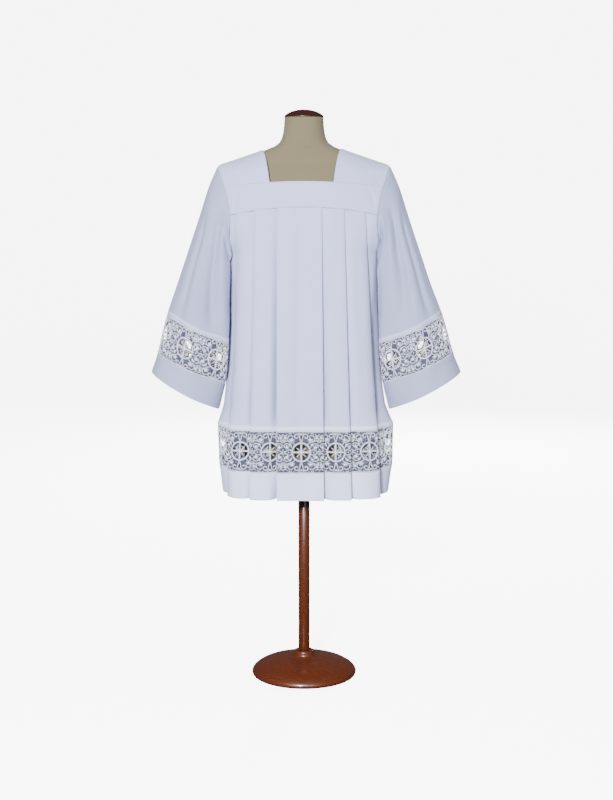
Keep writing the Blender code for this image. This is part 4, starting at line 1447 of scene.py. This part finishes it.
    def build(self, finishes: Finishes) -> None:
        """Makes the four pieces with the stitching along their seams and round the neck.

        Args:
            finishes: every material.
        """
        for facing in Facing:
            name = facing.name.lower()
            names = (f"yoke_band_{name}", f"yoke_stitches_{name}", f"yoke_{name}")
            sewn = SewnSheet(*names, Stuff.CLOTH, "stretched", "form_torso")
            sewn.build(self.band(facing), (0.0075, -0.0075, 0.0015, -0.0015), finishes)
        for hand in Hand:
            name = hand.name.lower()
            strap = self.strap(hand)
            columns = [(strap.points[:, at], strap.normals[:, at]) for at in (1, 3, -3)]
            names = (f"strap_{name}", f"strap_stitches_{name}", f"yoke_strap_{name}")
            SewnSheet(*names, Stuff.CLOTH, "draped", "form_torso").build(strap, columns, finishes)


@dataclass(frozen=True)
class SleeveFold:
    """A soft trough down a sleeve, or a ridge if negative.

    Its degrees are round the sleeve from the upper edge, front positive, at its first and its last
    station, and its spread is in degrees.
    """

    turns: Pair
    stations: Pair
    depth: float
    spread: float

    def bell(self, degrees: Array, stations: Array) -> Array:
        """Its depth round each ring: a bell about its place at that station."""
        place = np.interp(stations, self.stations, self.turns)
        return self.depth * bump(from_north(degrees - place), self.spread)


@dataclass
class Sleeve:
    """A wide set-in sleeve with a lace insertion and a plain cuff.

    The sections, at the whole stations from 1, have an upper and a lower end, each by side and
    height, then half a depth and the middle's Y. Station 0 is the armhole, 5 and 6 are the lace's
    edges and 7 is the cuff's.
    """

    hand: Hand
    flare: float
    folds: tuple[SleeveFold, ...]
    shape: Silhouette = field(default_factory=Silhouette)
    sections: tuple[tuple[float, ...], ...] = (
        (0.2620, 1.3890, 0.2115, 1.1750, 0.088, 0.000),
        (0.2905, 1.3030, 0.2120, 1.1300, 0.093, -0.001),
        (0.3270, 1.1950, 0.2125, 1.0750, 0.098, -0.003),
        (0.3490, 1.1300, 0.2135, 1.0300, 0.102, -0.005),
        (0.3800, 1.0420, 0.2155, 0.9560, 0.107, -0.007),
        (0.4090, 0.9355, 0.2265, 0.8475, 0.113, -0.009),
        (0.4290, 0.8810, 0.2390, 0.7750, 0.118, -0.010),
    )
    armhole_depth: float = 0.09
    power: float = 2.2
    parts: int = 196
    main_folds: tuple[SleeveFold, ...] = (
        SleeveFold((58, 121), (0, 5), 0.010, 24),
        SleeveFold((36, 57), (0, 5), 0.007, 18),
        SleeveFold((-62, -112), (0, 5), 0.009, 26),
        SleeveFold((-30, -52), (0, 5), 0.006, 18),
    )
    ring_at: float = 0.045
    hole: float = 0.36
    body_clearance: float = 0.0035
    body_pull: float = 0.022

    def armhole_ring(self) -> Array:
        """Points round the armhole at even lengths, from the shoulder's tip down the front.

        Returns:
            The ring.
        """
        turn = np.linspace(math.pi / 2, 0, 121)
        upper = self.shape.arch(ARMHOLE_SIDE + self.shape.lean(turn), turn, Facing.FRONT)
        falls = (CHEST_HEIGHT - UNDERARM_HEIGHT) * np.sin(np.linspace(0, math.pi / 2, 81))
        lower = [(*self.shape.armhole(height), height) for height in (CHEST_HEIGHT - falls).tolist()]
        down = np.concatenate([upper, np.array(lower)[1:] * (1, -1, 1)])
        run = lengths(down)
        front = read_at(down, run, np.linspace(0, run[-1], self.parts // 2 + 1))
        ring = np.concatenate([front, front[-2:0:-1] * (1, -1, 1)])
        return (ring + (ARMHOLE_GAP, 0, 0)) * (self.hand.value, 1, 1)

    def rings(self) -> tuple[Array, Array]:
        """Rings at the whole stations, as rounded ovals between their two ends, and their middles.

        Returns:
            The rings and their middles.
        """
        along, across = oval(self.power, self.parts)
        rings = [self.armhole_ring()]
        middles = [rings[0].mean(axis=0)]
        for station, (*ends, half_depth, middle_y) in enumerate(self.sections, start=1):
            outer, inner = np.array(ends[:2]), np.array(ends[2:])
            outer[0] += self.flare * max(station - 4, 0) / 3
            middle, half = (outer + inner) / 2, (outer - inner) / 2
            side, height = (middle[axis] + half[axis] * along for axis in (0, 1))
            rings.append(np.stack([self.hand.value * side, middle_y - half_depth * across, height], axis=-1))
            middles.append(np.array((self.hand.value * middle[0], middle_y, middle[1])))
        return np.array(rings), np.array(middles)

    def degrees(self) -> Array:
        """The turn of every column from the upper edge, front positive."""
        return from_north(np.linspace(0, 360, self.parts, endpoint=False)[None])

    def sunk(self, stations: Array, half_depth: Array) -> Array:
        """Share of the radius lost to the folds: bells round the sleeve, faded at their ends.

        Args:
            stations: where the rings are.
            half_depth: half a depth of each ring.

        Returns:
            A share for each point.
        """
        stations, degrees = stations[:, None], self.degrees()
        strength = np.minimum(stations / 2, 1) * (1 - 0.3 * np.clip(stations - 5, 0, 2))
        total = sum(strength * fold.bell(degrees, stations) for fold in self.main_folds)
        for fold in self.folds:
            first, last = fold.stations
            fade = soft_step(first + 0.25 - stations, 0.14) * soft_step(stations - last + 0.25, 0.14)
            total = total + fade * fold.bell(degrees, stations)
        return total / half_depth[:, None]

    def loft(self, stations: Array) -> Surface:
        """The tube at these stations, each ring drawn in towards its middle where it is folded.

        Args:
            stations: where its rings are.

        Returns:
            The sheet.
        """
        rings, middles = self.rings()
        at = np.arange(len(rings))
        half_depths = np.interp(stations, at, [self.armhole_depth, *(row[4] for row in self.sections)])
        ring, middle = glide(stations, at, rings), glide(stations, at, middles)[:, None]
        keep = 1 - self.sunk(stations, half_depths)[..., None]
        points = self.against_body(middle + (ring - middle) * keep, stations)
        return Surface(points, points.mean(axis=1, keepdims=True), True)

    def against_body(self, points: Array, stations: Array) -> Array:
        """Lets the sleeve's inner front and back edges hang in against the body, just clear of it.

        A bell round the sleeve moves points sideways, as far as the body's own oval at their depth
        and height lets them.

        Args:
            points: the tube's points.
            stations: the station of each ring.

        Returns:
            The moved points.
        """
        reach = np.interp(stations, (0.05, 0.6, 5.6, 7.0), (0.0, 1.0, 1.0, 0.35))[:, None]
        pull = self.body_pull * reach * sum(bump(self.degrees() + place, 30) for place in (-142, 142))
        half_width, half_depth, power, middle = self.shape.row(points[..., 2])
        body = half_width * rounded(np.abs(points[..., 1]) / half_depth, power) + self.hand.value * middle
        outwards = points[..., 0] * self.hand.value
        nearest = np.minimum(outwards, np.maximum(outwards - pull, body + self.body_clearance))
        return np.concatenate([(nearest * self.hand.value)[..., None], points[..., 1:]], axis=-1)

    def build(self, finishes: Finishes) -> None:
        """Makes the long piece, its lace and its cuff, with their sewing.

        Args:
            finishes: every material.
        """
        name = self.hand.name.lower()
        fine = 5 - np.array((0.14, 0.118, 0.110, 0.102, 0.085, 0.045, 0.0))
        sheet = self.loft(np.concatenate([np.linspace(0, 4.8, 66), fine]))
        below = sheet.run()[1][:, :-1]
        sheet = sheet.raised(TURNED_LIFT * soft_step(below[-1:] - below - TURNED_STRIP))
        names = (f"sleeve_cloth_{name}", f"sleeve_stitches_{name}", f"sleeve_{name}")
        # The sleeve and, below it, its cuff take the darker cloth of painted shade.
        sewn = SewnSheet(*names, Stuff.SINGLE, "hung", f"strap_{name}")
        cloth = sewn.build(sheet, (-0.0095, -0.0015, 0.0030), finishes)
        double_edge(cloth, 5 * self.parts, finishes[Stuff.CLOTH])
        lace = self.loft(np.linspace(5, 6, 15))
        nodes = (f"sleeve_lace_{name}_front", f"sleeve_lace_{name}_back")
        band = LaceBand(f"sleeve_lace_{name}", lace, self.ring_at, nodes, self.hole)
        band.build(finishes, f"sleeve_cloth_{name}")
        cuff = self.loft(np.linspace(6, 7, 26))
        cuff = cuff.raised(BAND_LIFT * soft_step(cuff.run()[1][:, :-1] - 0.009))
        names = (f"cuff_band_{name}", f"cuff_stitches_{name}", f"cuff_{name}")
        sewn = SewnSheet(*names, Stuff.SINGLE, "hung", f"sleeve_lace_{name}_net")
        sewn.build(cuff, (0.0015, 0.0080, -0.0035), finishes)


@dataclass
class DressForm:
    """A limbless bust in linen, with a turned cap, a pole and a round turned base.

    A section of the bust has a height, half a width and half a depth; a turned profile has radii
    and heights from its top middle to its bottom middle.
    """

    sections: tuple[Triple, ...] = (
        (0.6000, 0.1520, 0.1080), (0.6120, 0.1660, 0.1200), (0.7000, 0.1760, 0.1270),
        (0.8000, 0.1740, 0.1240), (0.8800, 0.1640, 0.1190), (0.9600, 0.1500, 0.1120),
        (1.0400, 0.1420, 0.1050), (1.1400, 0.1520, 0.1080), (1.2400, 0.1660, 0.1110),
        (1.3000, 0.1720, 0.1120), (1.3400, 0.1820, 0.1090), (1.3800, 0.1950, 0.1010),
        (1.4100, 0.2040, 0.0890), (1.4350, 0.2060, 0.0740), (1.4571, 0.2000, 0.0610),
        (1.4720, 0.1553, 0.0590), (1.4900, 0.1020, 0.0595), (1.5005, 0.0780, 0.0605),
        (1.5120, 0.0655, 0.0605), (1.5300, 0.0585, 0.0585), (1.5500, 0.0555, 0.0555),
        (1.5755, 0.0535, 0.0535),
    )
    power: float = 2.3
    cap: tuple[Pair, ...] = (
        (0.0000, 1.5980), (0.0190, 1.5965), (0.0370, 1.5915), (0.0495, 1.5845), (0.0550, 1.5785),
        (0.0545, 1.5758), (0.0000, 1.5758),
    )
    base: tuple[Pair, ...] = (
        (0.0000, 0.0700), (0.0260, 0.0700), (0.0285, 0.0670), (0.0285, 0.0570), (0.0380, 0.0510),
        (0.0750, 0.0460), (0.1150, 0.0365), (0.1400, 0.0235), (0.1500, 0.0120), (0.1490, 0.0040),
        (0.1450, 0.0000), (0.0000, 0.0000),
    )
    pole_radius: float = 0.016
    chamfer: float = 0.001
    sides: int = 96
    neck_seam: Triple = (1.5085, 0.0016, 0.0005)
    linen_under: float = 0.0003

    def turned(self, name: str, profile: tuple[Pair, ...], rounds: int) -> bpy.types.Object:
        """A turned piece: the profile with its corners cut off again and again, swept round Z.

        Args:
            name: the piece's name.
            profile: (radius, height) from the top middle to the bottom middle.
            rounds: how often each corner is cut at a quarter of its sides.

        Returns:
            The closed object.
        """
        line = np.array(profile, float)
        for _ in range(rounds):
            near, far = (blend(line[:-1], line[1:], share) for share in (0.25, 0.75))
            inner = np.stack([near, far], axis=1).reshape(-1, 2)
            line = np.concatenate([line[:1], inner[1:-1], line[-1:]])
        return self.closed(name, swept(line, self.sides), np.array((0.0, 0.0, float(line[:, 1].mean()))))

    def closed(self, name: str, points: Array, inside: Array) -> bpy.types.Object:
        """A tube whose end rings lie on points, which are merged so that its ends are closed.

        Args:
            name: the piece's name.
            points: its rings.
            inside: what its outer side faces away from.

        Returns:
            The closed object.
        """
        piece = Surface(points, inside, True).piece(name, 0.0)
        made = bmesh.new()
        made.from_mesh(piece.data)
        bmesh.ops.remove_doubles(made, verts=made.verts, dist=1e-6)
        bmesh.ops.recalc_face_normals(made, faces=made.faces)
        made.to_mesh(piece.data)
        made.free()
        return piece

    def torso(self) -> bpy.types.Object:
        """The bust: level ovals in a smooth stack, with a sewn seam round the foot of its neck.

        Returns:
            The object.
        """
        table = np.array(self.sections)
        heights = np.concatenate([np.linspace(0.600, 1.43, 60), np.linspace(1.4345, 1.5755, 64)])
        sizes = glide(heights, table[:, 0], table[:, 1:])
        across, along = oval(self.power, self.sides)
        level = heights[:, None] + 0 * across
        points = np.stack([sizes[:, :1] * across, sizes[:, 1:] * along, level], axis=-1)
        place, width, depth = self.neck_seam
        seam = depth * bump(level - place, width)
        sheet = Surface(points, points.mean(axis=1, keepdims=True), True).raised(-seam - self.linen_under)
        ends = [np.broadcast_to(row.mean(axis=0), row.shape)[None] for row in sheet.points[[0, -1]]]
        points = np.concatenate([ends[0], sheet.points, ends[1]])
        return self.closed("bust_linen", points, points.mean(axis=1, keepdims=True))

    def build(self, finishes: Finishes) -> None:
        """Makes the bust, its cap, the base and the pole between them.

        Args:
            finishes: every material.
        """
        dress(self.torso(), finishes[Stuff.LINEN], ("form_torso",))
        top, bottom = self.sections[0][0] - REST_GAP, self.base[0][1] + REST_GAP
        radius, inner = self.pole_radius, self.pole_radius - self.chamfer
        pole = ((0.0, top), (inner, top), (radius, top - self.chamfer))
        pole += ((radius, bottom + self.chamfer), (inner, bottom), (0.0, bottom))
        for name, profile, rounds, stuff, node in (
            ("neck_cap", self.cap, 3, Stuff.CAP_WOOD, "form_cap"),
            ("turned_base", self.base, 2, Stuff.BASE_WOOD, "form_base"),
            ("stand_pole", pole, 0, Stuff.BASE_WOOD, "form_pole"),
        ):
            dress(self.turned(name, profile, rounds), finishes[stuff], (node,))


def swept(line: Array, sides: int) -> Array:
    """A (radius, height) profile swept round Z, as rows of points.

    Args:
        line: the profile.
        sides: how many steps it takes round.

    Returns:
        The points.
    """
    turn = np.linspace(0, FULL_TURN, sides, endpoint=False)
    radius, height = line[:, :1], line[:, 1:] + 0 * turn
    return np.stack([radius * np.cos(turn), radius * np.sin(turn), height], axis=-1)


@dataclass
class Studio:
    """A pale round sweep of paper, soft lights on every side and the camera of the photograph.

    A light has a name, a place, a size, a power and whether it shows in varnish.
    """

    lens: float = 64.6
    camera_place: Triple = (0.007, -4.0, 1.35)
    pitch: float = 7.9
    floor_radius: float = 6.4
    bend_radius: float = 1.2
    wall_top: float = 7.5
    aim: Triple = (0.0, 0.0, 1.0)
    light_colour: str = "#EEF1FF"
    sky_colour: str = "#E9EDFF"
    sky_strength: float = 0.10
    lights: tuple[tuple[str, Triple, float, float, bool], ...] = (
        ("key", (-0.75, -4.7, 2.2), 0.5, 690.0, True),
        ("fill", (1.5, -4.5, 1.6), 1.2, 40.0, True),
        ("top", (0.1, -0.8, 4.2), 1.6, 22.0, False),
        ("back", (0.9, 4.7, 2.3), 0.8, 460.0, False),
        ("left", (-4.4, 1.2, 2.0), 1.2, 90.0, False),
        ("right", (4.4, 1.2, 2.0), 1.2, 90.0, False),
    )

    def sweep(self) -> None:
        """A round floor and the wall about it as one sheet, bent between them on a quarter circle."""
        bend = np.linspace(0, math.pi / 2, 17)
        radii = self.floor_radius + self.bend_radius * np.sin(bend)
        line = np.stack([radii, self.bend_radius * (1 - np.cos(bend))], axis=-1)
        line = np.concatenate([[(0.001, 0.0)], line, [(radii[-1], self.wall_top)]]) - (0, 0.0004)
        paper = Surface(swept(line, 96), np.array((0.0, 0.0, -60.0)), True).piece("paper_sweep", 0.0)
        paper.data.materials.append(PaperSweep().material())
        paper.visible_diffuse = False
        paper.visible_glossy = False

    def light(self, name: str, place: Triple, size: float, power: float, glossy: bool) -> None:
        """A square soft light at a place, aimed at the garment's middle.

        Args:
            name: the light's name.
            place: where it stands.
            size: its side.
            power: its watts.
            glossy: whether it shows in varnish.
        """
        lamp = bpy.data.lights.new(name, "AREA")
        lamp.energy = power
        lamp.size = size
        lamp.color = linear(self.light_colour)[:3]
        thing = bpy.data.objects.new(name, lamp)
        away = np.subtract(self.aim, place)
        turn_x = math.pi / 2 + math.atan2(away[2], math.hypot(away[0], away[1]))
        thing.location = place
        thing.rotation_euler = (turn_x, 0.0, math.atan2(away[1], away[0]) - math.pi / 2)
        thing.visible_glossy = glossy
        bpy.context.scene.collection.objects.link(thing)

    def build(self) -> None:
        """Sets the sweep, the lights, the pale surroundings and the camera."""
        self.sweep()
        for row in self.lights:
            self.light(*row)
        world = bpy.data.worlds.new("pale room")
        world.use_nodes = True
        bpy.context.scene.world = world
        sky = world.node_tree.nodes["Background"]
        sky.inputs["Color"].default_value = linear(self.sky_colour)
        sky.inputs["Strength"].default_value = self.sky_strength
        eye = bpy.data.cameras.new("camera")
        eye.lens = self.lens
        eye.sensor_width = 36.0
        eye.sensor_fit = "AUTO"
        camera = bpy.data.objects.new("camera", eye)
        camera.location = self.camera_place
        camera.rotation_euler = (math.radians(90 - self.pitch), 0.0, 0.0)
        bpy.context.scene.collection.objects.link(camera)
        bpy.context.scene.camera = camera


# The pleats' sides and tucks, from the middle outwards
FRONT_FOLDS = {
    Hand.LEFT: (
        Fold(-0.0734, -0.0744, 0.0487), Fold(-0.1325, -0.1495, 0.0490), Fold(-0.1838, -0.2182, 0.0480),
    ),
    Hand.RIGHT: (
        Fold(0.0485, 0.0558, 0.0436), Fold(0.1088, 0.1311, 0.0438), Fold(0.1654, 0.2133, 0.0460),
    ),
}
BACK_FOLDS = {
    hand: tuple(
        Fold(hand.value * at_yoke, hand.value * at_hem, 0.0465)
        for at_yoke, at_hem in ((0.0610, 0.0650), (0.1190, 0.1380), (0.1750, 0.2150))
    )
    for hand in Hand
}
# Lengths along the section and heights
FRONT_CREASES = (
    Crease((-0.012, 1.330), (-0.020, 0.760), 0.0028, 0.006),
    Crease((-0.008, 1.360), (-0.012, 0.480), 0.0060, 0.028),
    Crease((-0.038, 1.290), (-0.030, 1.000), -0.0012, 0.012),
    Crease((0.022, 1.320), (0.030, 0.900), 0.0012, 0.010),
    Crease((0.082, 1.325), (0.092, 0.820), 0.0016, 0.010),
    Crease((0.140, 1.320), (0.172, 0.780), 0.0022, 0.012),
    Crease((-0.098, 1.325), (-0.108, 0.880), 0.0018, 0.010),
    Crease((-0.150, 1.318), (-0.182, 0.800), 0.0024, 0.013),
    Crease((-0.176, 1.300), (-0.170, 1.060), -0.0014, 0.010),
    Crease((0.196, 1.290), (0.215, 0.900), 0.0026, 0.012),
    Crease((-0.205, 1.280), (-0.222, 0.860), 0.0028, 0.013),
    Crease((0.236, 1.180), (0.262, 0.420), 0.0120, 0.030),
    Crease((-0.240, 1.180), (-0.266, 0.420), 0.0120, 0.030),
)
BACK_CREASES = (
    Crease((0.004, 1.330), (-0.006, 0.780), 0.0022, 0.008),
    Crease((-0.036, 1.300), (-0.040, 0.980), -0.0012, 0.012),
    Crease((0.034, 1.320), (0.042, 0.860), 0.0014, 0.011),
    Crease((0.090, 1.325), (0.104, 0.840), 0.0018, 0.010),
    Crease((0.150, 1.320), (0.176, 0.790), 0.0022, 0.012),
    Crease((-0.094, 1.325), (-0.100, 0.900), 0.0016, 0.011),
    Crease((-0.150, 1.320), (-0.180, 0.780), 0.0024, 0.012),
    Crease((0.205, 1.280), (0.220, 0.880), 0.0026, 0.012),
    Crease((-0.200, 1.290), (-0.214, 0.840), 0.0024, 0.013),
)
LEFT_SLEEVE_FOLDS = (
    SleeveFold((96, 150), (0.1, 2.0), 0.0072, 8),
    SleeveFold((112, 158), (0.1, 1.8), -0.0048, 7),
    SleeveFold((90, 114), (0.3, 4.8), 0.0096, 9),
    SleeveFold((108, 132), (0.3, 4.7), -0.0056, 9),
    SleeveFold((142, 150), (0.8, 4.2), 0.0072, 10),
    SleeveFold((50, 56), (1.6, 4.9), 0.0064, 8),
    SleeveFold((20, 28), (1.0, 4.8), 0.0040, 12),
    SleeveFold((-96, -150), (0.1, 1.9), 0.0056, 9),
    SleeveFold((-88, -100), (0.8, 4.5), -0.0040, 11),
    SleeveFold((-142, -150), (1.0, 4.0), 0.0056, 12),
    SleeveFold((-14, -18), (1.2, 4.8), 0.0032, 10),
    SleeveFold((70, 88), (5.9, 7.4), 0.0030, 12),
    SleeveFold((-60, -80), (5.8, 7.4), 0.0026, 14),
)
RIGHT_SLEEVE_FOLDS = (
    SleeveFold((90, 146), (0.1, 2.3), -0.0072, 7),
    SleeveFold((104, 156), (0.1, 2.1), 0.0088, 8),
    SleeveFold((78, 96), (0.4, 4.8), 0.0088, 9),
    SleeveFold((96, 116), (0.5, 4.7), -0.0048, 9),
    SleeveFold((134, 146), (0.9, 4.4), 0.0072, 10),
    SleeveFold((46, 54), (1.4, 4.9), 0.0072, 8),
    SleeveFold((24, 30), (0.9, 4.8), 0.0035, 11),
    SleeveFold((-92, -148), (0.1, 2.1), 0.0061, 9),
    SleeveFold((-82, -96), (0.7, 4.6), -0.0042, 10),
    SleeveFold((-138, -148), (1.0, 4.3), 0.0051, 12),
    SleeveFold((-16, -22), (1.3, 4.7), 0.0035, 11),
    SleeveFold((64, 80), (5.9, 7.4), 0.0026, 13),
    SleeveFold((-66, -84), (5.8, 7.4), 0.0030, 12),
)


def main() -> None:
    """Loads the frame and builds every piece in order."""
    logging.basicConfig(level=logging.INFO, format="%(name)s: %(message)s")
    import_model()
    finishes = {stuff: stuff.value.material() for stuff in Stuff}
    Studio().build()
    DressForm().build(finishes)
    Yoke().build(finishes)
    PleatedHalf("front", Facing.FRONT, FRONT_FOLDS, FRONT_CREASES, -0.0072).build(finishes)
    PleatedHalf("back", Facing.BACK, BACK_FOLDS, BACK_CREASES, 0.0).build(finishes)
    Sleeve(Hand.LEFT, -0.004, LEFT_SLEEVE_FOLDS).build(finishes)
    Sleeve(Hand.RIGHT, 0.008, RIGHT_SLEEVE_FOLDS).build(finishes)


if __name__ == "__main__":
    main()
